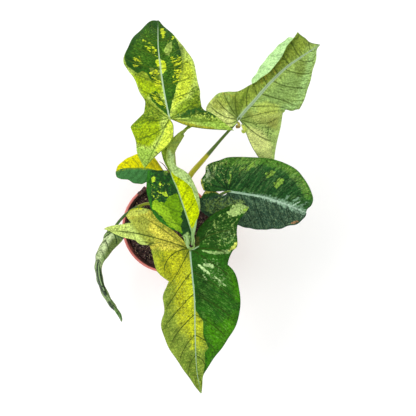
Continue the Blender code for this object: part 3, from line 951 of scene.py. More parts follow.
@dataclass
class Leaf:
    """One leaf: its blade and its petiole.

    Attributes:
        name: the leaf's name, as in its solids' names.
        midrib: places from the tip to the petiole.
        halves: the two halves of the blade.
        stem_height: height on the stem, in millimetres, where its sheath starts; 0 for the stem's top.
        stem_azimuth: the side of the stem that it grows from, in degrees.
        path: places that the petiole passes, from stem to blade.
        upper: finish of the blade's upper side.
        under: finish of its underside.
        stalk: finish of the petiole.
        rib_width: half the midrib's width at the petiole, in millimetres.
        girth: radius of the petiole above its sheath, a third of the way along and at the blade.
        quilt: how far the skin bulges between veins, in millimetres.
        wave: how far the margin waves, in millimetres.
        columns: sections along the midrib.
        rows: points across each half; a half with a fold has 1.6 times as many.
        lobe_step: distance between sections along a basal lobe's margin.
        thickness: thickness of the blade.
        rib_thickness: its thickness at the midrib.
    """

    name: str
    midrib: list[Spot]
    halves: tuple[Half, Half]
    stem_height: float
    stem_azimuth: float
    path: list[Spot]
    upper: LeafFinish
    under: LeafFinish
    stalk: StalkFinish
    rib_width: float = 1.0
    girth: tuple[float, float, float] = (0.0018, 0.0018, 0.0017)
    quilt: float = 0.5
    wave: float = 0.6
    columns: int = 120
    rows: int = 26
    lobe_step: float = 0.0013
    thickness: float = 0.0006
    rib_thickness: float = 0.0015

    def build(self, stem: "Stem") -> list[Object]:
        """Build the blade and the petiole.

        Args:
            stem: the stem that carries the leaf.

        Returns:
            The two pieces.
        """
        return [self.build_blade(), self.build_petiole(stem)]

    def _grid(self) -> tuple[list[Vector], Faces, dict[str, Sequence[float]]]:
        """Set out the blade as a sheet with no thickness.

        Returns:
            Its points, faces and point values.
        """
        spine = evenly([PLAN.place(*spot) for spot in self.midrib], self.columns)
        points = list(spine)
        faces: Faces = []
        total = self.columns + 1
        narrow = 0.35
        widths = [self.rib_width * (narrow + (1 - narrow) * (k / self.columns) ** 0.7) for k in range(total)]
        first = self.halves[0].veins
        values: dict[str, Any] = {
            "vein": [first * k / self.columns for k in range(total)],
            "vein_mm": [length_of(spine) / first / MM] * total,
            "across": [0.0] * total,
            "rib": [0.0] * total,
            "half": [RIB_HALF] * total,
        }
        for number, half in enumerate(self.halves, 1):
            rows = round(self.rows * 1.6) if half.fold else self.rows
            sections = [half.section(k / self.columns, spine[k], rows) for k in range(1, self.columns + 1)]
            lobes = half.lobe_sections(spine[-1], rows, self.lobe_step)
            sections += lobes
            grid = [[0] * (rows + 1)]
            for k, section in enumerate(sections, 1):
                rib = min(k, self.columns)
                line = [rib]
                count = half.veins * min(k / self.columns, 1.0)
                count += half.lobe_veins * max(0, k - self.columns) / len(lobes)
                for row in range(1, rows + 1):
                    line.append(len(points))
                    points.append(section[row])
                    share = row / rows
                    bend = 0.9 * share**1.6 * min(1.0, 3 * (1 - k / len(sections)))
                    near = sections[max(k - 2, 0)][row]
                    far = sections[min(k, len(sections) - 1)][row]
                    steps = min(k, len(sections) - 1) - max(k - 2, 0)
                    per = half.lobe_veins / len(lobes) if k > self.columns else half.veins / self.columns
                    out = (section[row] - section[row - 1]).normalized()
                    step = far - near
                    gap = (step - out * step.dot(out)).length
                    values["vein"].append(count + bend)
                    values["vein_mm"].append(gap / MM / max(steps * per, 1e-9))
                    values["across"].append(share)
                    values["rib"].append(self._off_rib(section[row], spine, rib) / MM / widths[rib])
                    values["half"].append(float(number))
                grid.append(line)
            for near_line, far_line in zip(grid, grid[1:]):
                for row in range(rows):
                    corners = []
                    for index in (near_line[row], near_line[row + 1], far_line[row + 1], far_line[row]):
                        if index not in corners:
                            corners.append(index)
                    faces.append(tuple(corners if number == 1 else reversed(corners)))
        return points, faces, values

    def _off_rib(self, point: Vector, spine: Sequence[Vector], rib: int) -> float:
        """Distance from the midrib.

        Args:
            point: the place, in metres.
            spine: points of the midrib.
            rib: number of the midrib point near which to look.

        Returns:
            The distance, held to 12 mm.
        """
        limit = 12 * MM
        if (point - spine[rib]).length > limit:
            return limit
        near = 12
        return min((point - place).length for place in spine[max(rib - near, 0):rib + near + 1])

    def _layer_values(self, points: Sequence[Vector], halves: Sequence[float]) -> dict[str, Sequence[float]]:
        """Depth of every point in each layer of both finishes.

        Args:
            points: the points.
            halves: the half that each of them belongs to.

        Returns:
            The depths of each layer, under the names of the point values.
        """
        spots = numpy.array([PLAN.spot(point) for point in points])
        found: dict[str, Sequence[float]] = {}
        for side, finish in ((Side.UPPER, self.upper), (Side.UNDER, self.under)):
            for number, layer in enumerate(finish.layers):
                found[f"{side.value}_{number}"] = layer.depths(spots, numpy.array(halves))
        return found

    def build_blade(self) -> Object:
        """Build the blade with its veins' relief, its tones and its two finishes.

        Returns:
            The piece.
        """
        points, faces, values = self._grid()
        values.update(self._layer_values(points, values["half"]))
        data = mesh_of(f"leaf_{self.name}", points, faces, values)
        if sum(data.polygons[i].normal.z for i in range(0, len(data.polygons), 7)) < 0:
            data.flip_normals()
        normals = [Vector(vert.normal) for vert in data.vertices]
        weights = []
        for i, vert in enumerate(data.vertices):
            across = values["across"][i]
            rib = values["rib"][i]
            window = smooth_step(rib / 6) * smooth_step((1 - across) / 0.25)
            bulge = 0.5 - 0.5 * math.cos(2 * math.pi * values["vein"][i])
            lift = self.quilt * bulge * window - 0.35 * math.exp(-(rib**2) / 3)
            lift += self.wave * across**3 * math.sin(4.7 * values["vein"][i] + 2 * values["half"][i])
            vert.co = vert.co + normals[i] * lift * MM
            weights.append(math.exp(-(rib**2) / 2))
        data.shade_smooth()
        data.materials.append(self.upper.make(f"leaf_{self.name}_upper", Side.UPPER))
        data.materials.append(self.under.make(f"leaf_{self.name}_under", Side.UNDER))
        piece = linked(data.name, data)
        group = piece.vertex_groups.new(name="thick_part")
        for i, weight in enumerate(weights):
            if weight > 0.01:
                group.add([i], weight, "REPLACE")
        solid = piece.modifiers.new("thickness", "SOLIDIFY")
        solid.thickness = self.rib_thickness
        solid.offset = 0
        solid.vertex_group = group.name
        solid.thickness_vertex_group = self.thickness / self.rib_thickness
        solid.material_offset = 1
        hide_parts(f"blade_{self.name}")
        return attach(piece, "root")

    def build_petiole(self, stem: "Stem") -> Object:
        """Build the petiole from the stem to the midrib's underside.

        Args:
            stem: the stem that carries it.

        Returns:
            The piece.
        """
        sheath_length, before, beyond, under_rib = 0.010, 0.0012, 0.004, 0.0009
        if self.stem_height:
            start = stem.side(self.stem_height, self.stem_azimuth)
            sheath = [start, stem.side(self.stem_height + sheath_length / MM, self.stem_azimuth)]
        else:
            along = (stem.top - stem.foot).normalized()
            sheath = [stem.top - along * 0.0005, stem.top + along * sheath_length]
        keys = sheath + [PLAN.place(*spot) for spot in self.path]
        spine = [PLAN.place(*spot) for spot in self.midrib]
        joint = spine[-1]
        into = (spine[-2] - joint).normalized()
        keys.append(joint + (keys[-1] - joint).normalized() * before)
        keys.append(joint + into * beyond - Vector((0, 0, under_rib)))
        step = 0.002
        count = max(30, round(length_of(keys) / step))
        path = evenly(keys, count)
        wide_reach = 0.025 / length_of(keys)
        radii = []
        for i in range(count + 1):
            t = i / count
            radius = self.girth[0] + (self.girth[1] - self.girth[0]) * smooth_step(t / 0.3)
            radius += (self.girth[2] - self.girth[1]) * smooth_step((t - 0.4) / 0.5)
            radius += max(0.0, stem.sheath - radius) * (1 - smooth_step(t / wide_reach))
            radii.append(radius * (1 - 0.45 * smooth_step((t - 0.93) / 0.07)))
        tube = Tube(f"stalk_{self.name}", path, radii, groove=0.16)
        piece = tube.build(self.stalk.make(tube.name))
        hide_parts(f"petiole_{self.name}")
        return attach(piece, "root")


@dataclass
class Tube:
    """A closed tube, with values along and around it stored on its points.

    Attributes:
        name: the piece's name.
        path: points of its middle line.
        radii: radius at each point.
        groove: depth of a groove along its upper side, as a share of the radius.
        sides: points round it.
        turns: what the value "along" reaches at the far end.
    """

    name: str
    path: Sequence[Vector]
    radii: Sequence[float]
    groove: float = 0.0
    sides: int = 18
    turns: float = 1.0

    def rings(self) -> tuple[list[Vector], Faces, dict[str, Sequence[float]]]:
        """Set out the tube.

        Returns:
            Its points, faces and the point values "along" and "around".
        """
        points: list[Vector] = []
        along: list[float] = []
        around: list[float] = []
        # A first guess at the upper side, along which no path starts.
        up = Vector((0.31, 0.17, 0.9))
        last = len(self.path) - 1
        for i, (middle, radius) in enumerate(zip(self.path, self.radii)):
            way = (self.path[min(i + 1, last)] - self.path[max(i - 1, 0)]).normalized()
            side = way.cross(up).normalized()
            up = side.cross(way).normalized()
            for k in range(self.sides):
                angle = 2 * math.pi * k / self.sides
                dent = 1 - self.groove * max(0.0, math.cos(angle)) ** 6
                points.append(middle + radius * dent * (math.cos(angle) * up + math.sin(angle) * side))
                along.append(self.turns * i / last)
                around.append(abs(k / self.sides - 0.5) * 2)
        faces: Faces = []
        for i in range(last):
            for k in range(self.sides):
                a, b = i * self.sides + k, i * self.sides + (k + 1) % self.sides
                faces.append((a, b, b + self.sides, a + self.sides))
        for end, order in ((0, -1), (last, 1)):
            centre = len(points)
            points.append(self.path[end].copy())
            along.append(self.turns * end / last)
            around.append(0.5)
            for k in range(self.sides):
                a, b = end * self.sides + k, end * self.sides + (k + 1) % self.sides
                faces.append((a, b, centre)[::order])
        return points, faces, {"along": along, "around": around}

    def build(self, finish: Material) -> Object:
        """Build the tube.

        Args:
            finish: its material.

        Returns:
            The piece.
        """
        data = mesh_of(self.name, *self.rings())
        data.shade_smooth()
        data.set_sharp_from_angle(angle=math.radians(60))
        data.materials.append(finish)
        return linked(self.name, data)


# Stem, pot and soil


@dataclass
class Stem:
    """The short upright stem.

    Attributes:
        foot: its lower end, in the soil.
        top: its upper end.
        radius: its radius between nodes.
        spacing: distance between nodes.
        swell: how much thicker it is at a node.
        sheath: radius of the petioles' sheaths.
        bite: how deep a sheath lies in the swelling of a node.
        steps: steps along its skin.
    """

    foot: Vector = field(default_factory=lambda: Vector((0.0135, 0.0175, 0.055)))
    top: Vector = field(default_factory=lambda: Vector((0.0190, 0.0255, 0.150)))
    radius: float = 0.0045
    spacing: float = 0.012
    swell: float = 1.12
    sheath: float = 0.0024
    bite: float = 0.0007
    steps: int = 96

    def side(self, height: float, azimuth: float) -> Vector:
        """Where a sheath's middle line lies against the stem.

        Args:
            height: height over the table, in millimetres.
            azimuth: the side of the stem, in degrees.

        Returns:
            The point, in metres.
        """
        share = (height * MM - self.foot.z) / (self.top.z - self.foot.z)
        angle = math.radians(azimuth)
        reach = self.radius * self.swell + self.sheath - self.bite
        return self.foot.lerp(self.top, share) + reach * Vector((math.cos(angle), math.sin(angle), 0))

    def build(self) -> Object:
        """Build the stem.

        Returns:
            The piece.
        """
        length = (self.top - self.foot).length
        path = [self.foot.lerp(self.top, i / self.steps) for i in range(self.steps + 1)]
        radii = []
        for i in range(self.steps + 1):
            turn = math.cos(2 * math.pi * length * i / self.steps / self.spacing)
            ridge = 0.6 * (0.5 + 0.5 * turn) + 0.4 * max(0.0, turn) ** 8
            radii.append(self.radius * (1 + (self.swell - 1) * ridge))
        tube = Tube("stem_skin", path, radii, sides=28, turns=length / self.spacing)
        piece = tube.build(StemFinish().make("stem_skin"))
        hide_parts("stem")
        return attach(piece, "root")


@dataclass
class Pot:
    """The nursery pot's sizes and its finish.

    Attributes:
        rim_diameter: width over the rim.
        height: height of the rim.
        base_diameter: width of the base.
        rim_thickness: thickness of the rim band.
        wall: thickness of the wall.
        floor: thickness of the floor.
    """

    rim_diameter: float = 0.120
    height: float = 0.108
    base_diameter: float = 0.086
    rim_thickness: float = 0.0029
    wall: float = 0.0016
    floor: float = 0.002

    def inner_radius(self, z: float) -> float:
        """Radius of the inside of the wall.

        Args:
            z: height over the table, in metres.

        Returns:
            The radius there.
        """
        low = self.base_diameter / 2
        high = self.rim_diameter / 2 - self.rim_thickness + self.wall
        return low + (high - low) * z / self.height - self.wall

    def dress(self, node: Object) -> None:
        """Give the pot's solid its finish.

        Args:
            node: the solid.
        """
        finish = PotFinish().make("pot_plastic")
        if node.material_slots:
            node.material_slots[0].material = finish
        else:
            node.data.materials.append(finish)


@dataclass
class Soil:
    """Peat that fills the pot, with crumbs and dry fibres lying on it.

    Attributes:
        pot: the pot that it fills.
        depth: how far its top is below the rim.
        relief: height of its largest lumps.
        lump: width of the lumps.
        rings: rings of points in its top.
        turns: points round it.
        crumbs: number of loose crumbs.
        spilt: number of crumbs on the rim.
        fibres: number of fibres.
        gap: distance between the soil and the pot.
    """

    pot: Pot
    depth: float = 0.013
    relief: float = 0.0028
    lump: float = 0.011
    rings: int = 46
    turns: int = 168
    crumbs: int = 320
    spilt: int = 34
    fibres: int = 120
    gap: float = 0.0003

    def level(self, x: float, y: float) -> float:
        """Height of the soil's top at a place.

        Args:
            x: the place's x, in metres.
            y: its y.

        Returns:
            The height over the table.
        """
        spot = Vector((x, y, 0.3))
        z = self.pot.height - self.depth
        for relief, lump in ((self.relief, self.lump), (0.0012, 0.0042), (0.0006, 0.0016)):
            z += relief * noise.noise(spot / lump)
        return z

    def _reach(self, margin: float) -> float:
        """Radius of the soil's top less a margin."""
        return self.pot.inner_radius(self.pot.height - self.depth) - margin

    def _body(self) -> Object:
        """Make the lumpy top, the side and the underside as one closed piece.

        Returns:
            The piece.
        """
        top = self.pot.height - self.depth
        low = self.pot.floor + self.gap
        edge = self._reach(self.gap)
        mesh = bmesh.new()
        rings = []
        middle = mesh.verts.new((0, 0, self.level(0, 0)))
        for ring in range(1, self.rings + 1):
            reach = edge * ring / self.rings
            line = []
            for turn in range(self.turns):
                angle = 2 * math.pi * turn / self.turns
                x, y = reach * math.cos(angle), reach * math.sin(angle)
                z = self.level(x, y) if ring < self.rings else top
                line.append(mesh.verts.new((x, y, z)))
            rings.append(line)
        foot = self.pot.inner_radius(low) - self.gap
        rings.append([mesh.verts.new((foot * v.co.x / edge, foot * v.co.y / edge, low)) for v in rings[-1]])
        for turn in range(self.turns):
            follow = (turn + 1) % self.turns
            mesh.faces.new((middle, rings[0][turn], rings[0][follow]))
            for near, far in zip(rings, rings[1:]):
                mesh.faces.new((near[turn], far[turn], far[follow], near[follow]))
        mesh.faces.new(list(reversed(rings[-1])))
        return self._piece("soil_bed", mesh, PeatFinish().make("peat"))

    def _piece(self, name: str, mesh: BMesh, finish: Material) -> Object:
        """Turn a mesh into a smooth piece that rides with the pot.

        Args:
            name: the piece's name.
            mesh: its mesh, which is freed.
            finish: its material.

        Returns:
            The piece.
        """
        data = bpy.data.meshes.new(name)
        mesh.to_mesh(data)
        mesh.free()
        data.shade_smooth()
        data.materials.append(finish)
        piece = linked(name, data)
        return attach(piece, "root")

    def _crumb(self, mesh: BMesh, spot: Vector, size: float, seed: float) -> None:
        """Add one rough crumb to a mesh.

        Args:
            mesh: the mesh.
            spot: the crumb's middle.
            size: its radius.
            seed: a number that gives it its own shape.
        """
        made = bmesh.ops.create_icosphere(mesh, subdivisions=2, radius=1.0)
        stretch = Vector((1.0 + 0.35 * math.sin(seed), 1.0 + 0.3 * math.cos(2.3 * seed), 0.75))
        turn = Matrix.Rotation(seed * 2.7, 3, "Z") @ Matrix.Rotation(0.5 * math.sin(seed * 5), 3, "X")
        for vert in made["verts"]:
            rough = 1 + 0.55 * noise.noise(vert.co * 1.7 + Vector((seed, 2 * seed, 0)))
            vert.co = spot + turn @ (vert.co * stretch) * rough * size

    def _crumbs(self) -> Object:
        """Make loose crumbs over the soil, and a few on the rim where some soil has spilt.

        Returns:
            The piece.
        """
        pick = random.Random(7)
        mesh = bmesh.new()
        edge = self._reach(0.002)
        for i in range(self.crumbs):
            reach = edge * math.sqrt(pick.random())
            angle = pick.uniform(0, 2 * math.pi)
            x, y = reach * math.cos(angle), reach * math.sin(angle)
            size = 0.0006 + 0.0016 * pick.random() ** 3
            self._crumb(mesh, Vector((x, y, self.level(x, y) + 0.3 * size)), size, i * 1.7)
        for i in range(self.spilt):
            spot = PLAN.place(136.5 + 10 * pick.random(), 190 + 3.0 * pick.random(), 108)
            reach = math.hypot(spot.x, spot.y)
            spot = spot * ((self.pot.rim_diameter / 2 - 0.0020 + 0.0012 * pick.uniform(-1, 1)) / reach)
            spot.z = self.pot.height + 0.0004
            self._crumb(mesh, spot, 0.0012 + 0.0011 * pick.random(), 40 + i * 1.3)
        return self._piece("soil_crumbs", mesh, PeatFinish("332321", "6a4a42").make("peat_crumb"))

    def _fibres(self) -> Object:
        """Make pale root fibres and straw on the soil.

        Returns:
            The piece.
        """
        pick = random.Random(11)
        mesh = bmesh.new()
        edge = self._reach(0.006)
        for i in range(self.fibres):
            reach = edge * math.sqrt(pick.random())
            angle = pick.uniform(0, 2 * math.pi)
            spot = Vector((reach * math.cos(angle), reach * math.sin(angle), 0))
            self._fibre(mesh, spot, pick.uniform(0, math.pi), 0.002 + 0.007 * pick.random() ** 2,
                        0.00014 + 0.00030 * pick.random(), pick.uniform(-0.5, 0.5))
        bits = places("134.6,251.5,1.15,11,0.45 146,199,0.5,3,1 137,203,2,3,0.8 136,254.5,0.9,3,0.9")
        for across, down, angle, length, radius in bits:
            spot = PLAN.place(across, down, (self.pot.height - self.depth) / MM)
            self._fibre(mesh, spot, angle, length * MM, radius * MM, 0.2)
        return self._piece("soil_fibres", mesh, FibreFinish().make("fibre"))

    def _fibre(self, mesh: BMesh, spot: Vector, angle: float, length: float, radius: float,
               curl: float) -> None:
        """Add one fibre that lies on the soil to a mesh.

        Args:
            mesh: the mesh.
            spot: the fibre's middle.
            angle: the way that it points, in radians.
            length: its length.
            radius: its radius.
            curl: how far each end turns from that way, in radians.
        """
        path = []
        radii = []
        limit = self._reach(0.001)
        steps = 8
        for i in range(steps + 1):
            t = i / steps - 0.5
            way = angle + curl * t * 2
            x, y = spot.x + length * t * math.cos(way), spot.y + length * t * math.sin(way)
            reach = math.hypot(x, y)
            if reach > limit:
                x, y = x * limit / reach, y * limit / reach
            path.append(Vector((x, y, self.level(x, y) + radius + 0.0009 * (1 - 4 * t * t))))
            radii.append(radius * (1 - 1.2 * abs(t)))
        points, faces, _ = Tube("fibre", path, radii, sides=6).rings()
        verts = [mesh.verts.new(point) for point in points]
        for corners in faces:
            mesh.faces.new([verts[i] for i in corners])

    def build(self) -> list[Object]:
        """Build the soil, its crumbs and its fibres.

        Returns:
            The three pieces.
        """
        body = self._body()
        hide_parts("soil")
        return [body, self._crumbs(), self._fibres()]


# The leaves of this plant


SIDE_VEINS = dict(veins=7.0, lobe_veins=3.0)
GREEN_STALK = StalkFinish(lower="7f8c2a", upper="5f7a26")


def underside(ground: str, **changes: Any) -> LeafFinish:
    """A pale underside with raised, darker veins.

    Args:
        ground: its colour.
        changes: other fields of the finish.

    Returns:
        The finish.
    """
    usual = LeafFinish(ground, "5f8f4e", "a9c98a", vein_share=0.45, rib_share=0.8, gloss=0.55, net=0.15)
    return replace(usual, **changes)


UPPER_LEFT_TONES = (
    tone("9ab40f", area(1, "133,74 150,80 156,70 160,80 163,96 152,93 146,99 138,88"), area(1, "128,124 "
        "138,117 160,119 161,134 150,147 136,144 130,132"), soft=2.5),
    tone("cfe038", area(2, "183,60 190,62 194,76 190,90 184,99 177,104 172,112 175,95 180,75"), soft=3,
        share=0.9),
    tone("86a41e", area(2, "177,106 186,99 197,102 201,112 186,114 177,115 170,119"), soft=2.5, share=0.9),
    tone("7d9213", area(1, "134,70 142,68 151,70 154,81 146,82 137,78"), area(1, "145,96 152,101 165,113 "
        "158,122 140,121 129,128 137,115"), area(2, "196,88 203,100 203,110 192,109 191,100"), soft=3.5,
        share=0.85),
    tone("9cc04c", area(1, "134,146 156,150 146,172 134,164"), area(2, "186,118 205,112 238,128 236,134 "
        "205,127"), soft=3),
    tone("486a16", area(1, "144,96 166,115 160,123 150,124 141,128 130,131 129,127 138,114"),
        area(2, "192,84 200,84 204,110 190,112 182,111 187,99"), area(2, "180,113 212,110 226,124 205,122 "
        "190,120"), soft=3, dots=430, cover=0.62, share=0.85),
    tone("66851c", area(0, "120,60 200,40 240,130 160,160 146,172 125,130"), soft=2, dots=620, cover=0.36,
        share=0.75),
    tone("2a5610", area(1, "157.7,19 145,24 134,33 127.5,46 125,57 126.5,65 133,70 138,73.5 142,71.5 "
        "146.8,73 150,79 152.5,81 154.6,78 150,70 149,67.5 153,68 156,71.5 158.8,70 157.7,65 155.5,61 "
        "158.8,59 159,38"), area(2, "158,19 167,27 173.5,36 178,43 180.4,52 181.7,60.5 180.6,69 179,79 "
        "176.5,86 175.2,93 173,100 171,108 170,118 168,116 165.5,105 163,94 161.5,84 160,77 165,72 164.5,62 "
        "160,59 158,50 158,38"), area(1, "149.3,94.2 156.3,91 162.6,100 167,108 170.5,118 165,113 157.7,107 "
        "152,100"), ragged=0.9, soft=0.25),
    tone("2f5f24", area(2, "174,116 186,111 200,108.5 212,112 220,118 208,117 199.8,114.6 191,117 183,119"),
        ragged=2.4, dots=330, cover=0.8, soft=0.8),
    # Painted shade: darker patches over the dark green core near the margins, the tip and the right lobe.
    tone("1a4216", area(1, "126,50 132,58 141,66 140,74 127,68 124,60"), area(1, "136,36 126,50 124,60 "
        "130,50 142,34"), area(2, "174,46 183,46 184,70 179,82 175,70"), area(1, "147,22 158,20 158,40 "
        "150,36"), area(1, "149,68 160,66 162,84 152,82"), area(2, "184,113 200,106 216,116 204,117"),
        soft=3, ragged=2.5, share=0.75),
    tone("6f9a2c", area(1, "150,24 158,30 158,70 140,66 130,52 138,36"), area(2, "160,30 178,44 180,66 "
        "172,100 164,88 160,60"), dots=7, cover=0.38, flow=True, soft=2, share=0.6),
    tone("92ad4d", area(2, "164.5,50 167,44.5 172,42 172,50 169,56 165.5,55"), soft=0.3, ragged=0.8),
    tone("bdd027", area(1, "143,40.5,0.5 149,43,0.4 155,50,0.6"), area(1, "144,44,0.4 149,48.5,0.5 "
        "156,53,0.4"), area(1, "147,41,0.3 152,45.5,0.4 157,51,0.3"), area(1, "147,49,0.3 152,53,0.4 "
        "157,57,0.3"), area(2, "160.2,29 163,28.5 165,34 163.4,39 161,35"), area(2, "163,62,1.2 "
        "164.5,67,1.8 163,72,0.8"), area(1, "157,62,1.8 158,66,1.2"), area(2, "168,41,0.5 173,38,0.5"),
        ragged=1.6, soft=0.25),
    tone("a8bd4c", area(2, "186,116 206,112 222,122 206,121"), dots=500, cover=0.45, soft=1),
    tone("c2cf2a", area(2, "170,57 182,56 182,72 176,86 171,84 174,70"), area(1, "133,57 141,56 143,66 "
        "134,68"), area(1, "149,72 158,69 162,92 154,84"), area(1, "148,93 158,91 168,110 160,106"),
        dots=3.5, cover=0.52, flow=True, soft=1),
    tone("c9dc40", area(1, "168.5,119 173,121 173,136 167,147 160,153 156,150 163,136 166,126"), soft=1.2,
        share=0.85),
    tone("4d6a1c", area(1, "169,119,0.5 160.5,137,0.7 152.5,152,0.6 146,167,0.3"), area(2, "171,120,0.3 "
        "196,119,0.5 222,123,0.3"), ragged=0.3, soft=0.5, share=0.75),
    tone("94982c", area(2, "174,119.8,0.7 190,125,1.7 214,129.4,1.4"), soft=0.8),
)

UPPER_LEFT = Leaf(
    name="upper_left",
    midrib=places("158,20.5,256 158,35,272 158.5,50,283 161.5,75,294 165,97,299 169.5,118.5,300"),
    halves=(
        Half(side=[places("0,158,20.5,256 0.06,150,22,258 0.14,141,29.5,266 0.26,132,39.8,276 "
            "0.38,126.2,51,284 0.48,123.5,62,288 0.56,128,70.5,286 0.66,134.5,79,291 0.76,139,91,295 "
            "0.86,144.5,99.5,294 1,145,109,293")],
            lobe=[places("145,109,293 144,113.5,294 139.5,117.8,295 131.3,125.3,295 131,129,295 136,141,295 "
            "137.3,152,292 141,162,287 144.5,168.5,283")],
            inner=places("173,124,300 173.6,130,302 173,137,303 169,144.5,304 161,151.5,301 152,160,293"),
            arch=0.08, **SIDE_VEINS),
        Half(side=[places("0,158,20.5,256 0.1,165,27,260 0.22,176.5,38.6,271 0.29,183,45.5,277 "
            "0.36,186.8,52,282 0.46,193.5,61,287 0.58,196,74,288 0.72,199.5,89,293 0.86,200.3,98,298 "
            "1,201.5,107,302")],
            lobe=[places("201.5,107,302 204,110,303 211,112.7,304 222,121,302 234,130.5,297")],
            inner=places("176,121.3,301 188,126,303 203,128.7,303 219,129.9,300"), arch=0.08, **SIDE_VEINS),
    ),
    stem_height=130, stem_azimuth=105,
    path=places("178.5,196,158 176,178,195 174.5,162,225 172.5,140,268 171,127,290"),
    upper=LeafFinish(ground="c2da62", vein="4a6614", rib="b6d0aa", vein_share=0.7, rib_share=1, mottle=1.5,
        layers=UPPER_LEFT_TONES),
    under=underside("b5cb8a"),
    stalk=StalkFinish(lower="8d8f2c", upper="8a9a30"),
)

UPPER_RIGHT_TONES = (
    # Painted shadow: olive band between the turned-over margin and the midrib, where the margin shades the
    # blade.
    tone("879c38", area(0, "296,30 314,40 302,54 284,70 264,90 248,108 236,112 228,96 240,88 256,78 270,62 "
        "284,46"), soft=5),
    tone("a79a34", area(1, "286,50 278,72 262,86 258,80 270,66"), area(1, "216,92 236,93 240,106 232,100"),
        soft=3, dots=260, cover=0.5, share=0.6),
    tone("83a357", area(2, "292,72 308,78 302,100 280,104 258,112 254,104 272,88"), soft=5, share=0.8),
    tone("a3cc78", area(2, "318,44 314,60 306,92 300,106 296,104 302,78 308,56"), area(2, "300,100 298,112 "
        "284,111 276,106"), soft=3, share=0.8),
    tone("d6e284", area(1, "203,108 212,97 224,104 236,119 230,129 214,124"), area(2, "248,126 262,130 "
        "272,146 272,158 262,168 252,152 246,138"), soft=3.5),
    tone("56702c", area(0, "296,30 322,44 312,80 304,108 284,112 274,130 270,140 240,122 205,112 212,94 "
        "236,90 262,76"), soft=2, dots=3.2, cover=0.42, flow=True, share=0.6),
    # Painted shadow: dark olive along the turned-over margin and at its upper corner; also a dark line along
    # the lobe's edge from the petiole.
    tone("4f6a16", area(1, "238.5,118,1.2 239.5,108,1.8 243,98,1.4 249,87,1"), area(1, "298,34,0.8 "
        "304,38,1.2 312,43,0.8 318,45,0.4"), area(1, "298,35,0.6 289,47,1 282,59,1 270,71,0.8"), soft=1.8,
        ragged=0.8, share=0.75),
    tone("66792a", area(1, "228,101 238,97 242,106 240,120 234,122 230,113"), area(2, "240,112 250,107 "
        "254,117 244,124"), area(2, "268,117 280,118 278,130 268,128"), area(2, "294,62 304,60 306,74 "
        "296,77"), soft=2.5, ragged=1.5, share=0.6),
    tone("949e30", area(1, "211,99 223,94 230,104 222,112 212,108"), soft=3, share=0.6),
    tone("c4d860", area(2, "255,105 266,101 280,105 278,114 258,114"), soft=2.5, ragged=1.5, share=0.7),
    tone("5a6a24", area(2, "286,109.5,0.4 299,109,0.7 303,100,0.3"), soft=0.5, share=0.7),
    tone("d3c75a", area(2, "250,112 282,112 276,128 252,122"), soft=4, share=0.25),
    tone("3f5a20", area(2, "248,118 268,118 276,132 270,142 256,132"), soft=3, dots=420, cover=0.42,
        share=0.8),
)

UPPER_RIGHT = Leaf(
    name="upper_right",
    midrib=places("319.5,44.5,282 302,56.5,294 287,67,299 270,83,300 255,100,297 244,112,292 238.5,119,288"),
    halves=(
        Half(side=[places("0,319.5,44.5,282 0.05,309.3,42.8,288 0.1,302.5,36.2,295 0.15,298,32,300"),
            places("0.15,298,32,300 0.27,289,44,308 0.36,283,54,310 0.46,276,65,310 0.58,265.5,75,308 "
            "0.68,257.5,80.8,304 0.78,248,86,298 0.88,238,91.3,295 1,228,91.5,292")],
            lobe=[places("228,91.5,292 218,93.5,289 211.5,99.8,286 206,108.3,283 209,116.5,282 "
            "216,122,281")],
            inner=places("235.5,125,287 228,127.5,285"),
            fold=places("0.16,295,33,299 0.2,290,37,300 0.27,284,41,301 0.33,279,45,301 0.42,272,52,301 "
            "0.5,266,59,300 0.58,260,67,298 0.64,256.5,73,297 0.71,252.5,79,297 0.78,248.5,84.5,296"),
            ramp=0.06, rise=1, veins=8, lobe_veins=5),
        Half(side=[places("0,319.5,44.5,282 0.07,317.2,49.3,281 0.2,315,62,285 0.34,311,77,287 "
            "0.5,306.2,94,284 0.62,299.3,109.3,277"), places("0.62,299.3,109.3,277 0.72,293,110.3,275 "
            "0.82,286.5,109.7,275 1,283,112.5,273")],
            lobe=[places("283,112.5,273 281,125,258 277,140,236 275,154,214 273.5,160.5,203 "
            "265.5,163.5,199")],
            inner=places("242.5,124,285 246,133,273 250,143,255 255,152,234 260,159,214"), **SIDE_VEINS),
    ),
    stem_height=123, stem_azimuth=52,
    path=places("184,189,160 190.5,175,193 203.3,159.8,227 220.3,140.2,262 230,129.4,277"),
    upper=LeafFinish(ground="a6c464", vein="3c5018", rib="a2ba97", vein_share=0.7, rib_share=0.85, net=0.25,
        mottle=1.1, gloss=0.55, layers=UPPER_RIGHT_TONES),
    under=underside("b4dd94", vein="8fb872"),
    stalk=StalkFinish(lower="a9a408", upper="4c6420", change=0.66), girth=(0.0024, 0.0033, 0.0015),
        rib_width=1.9,
)

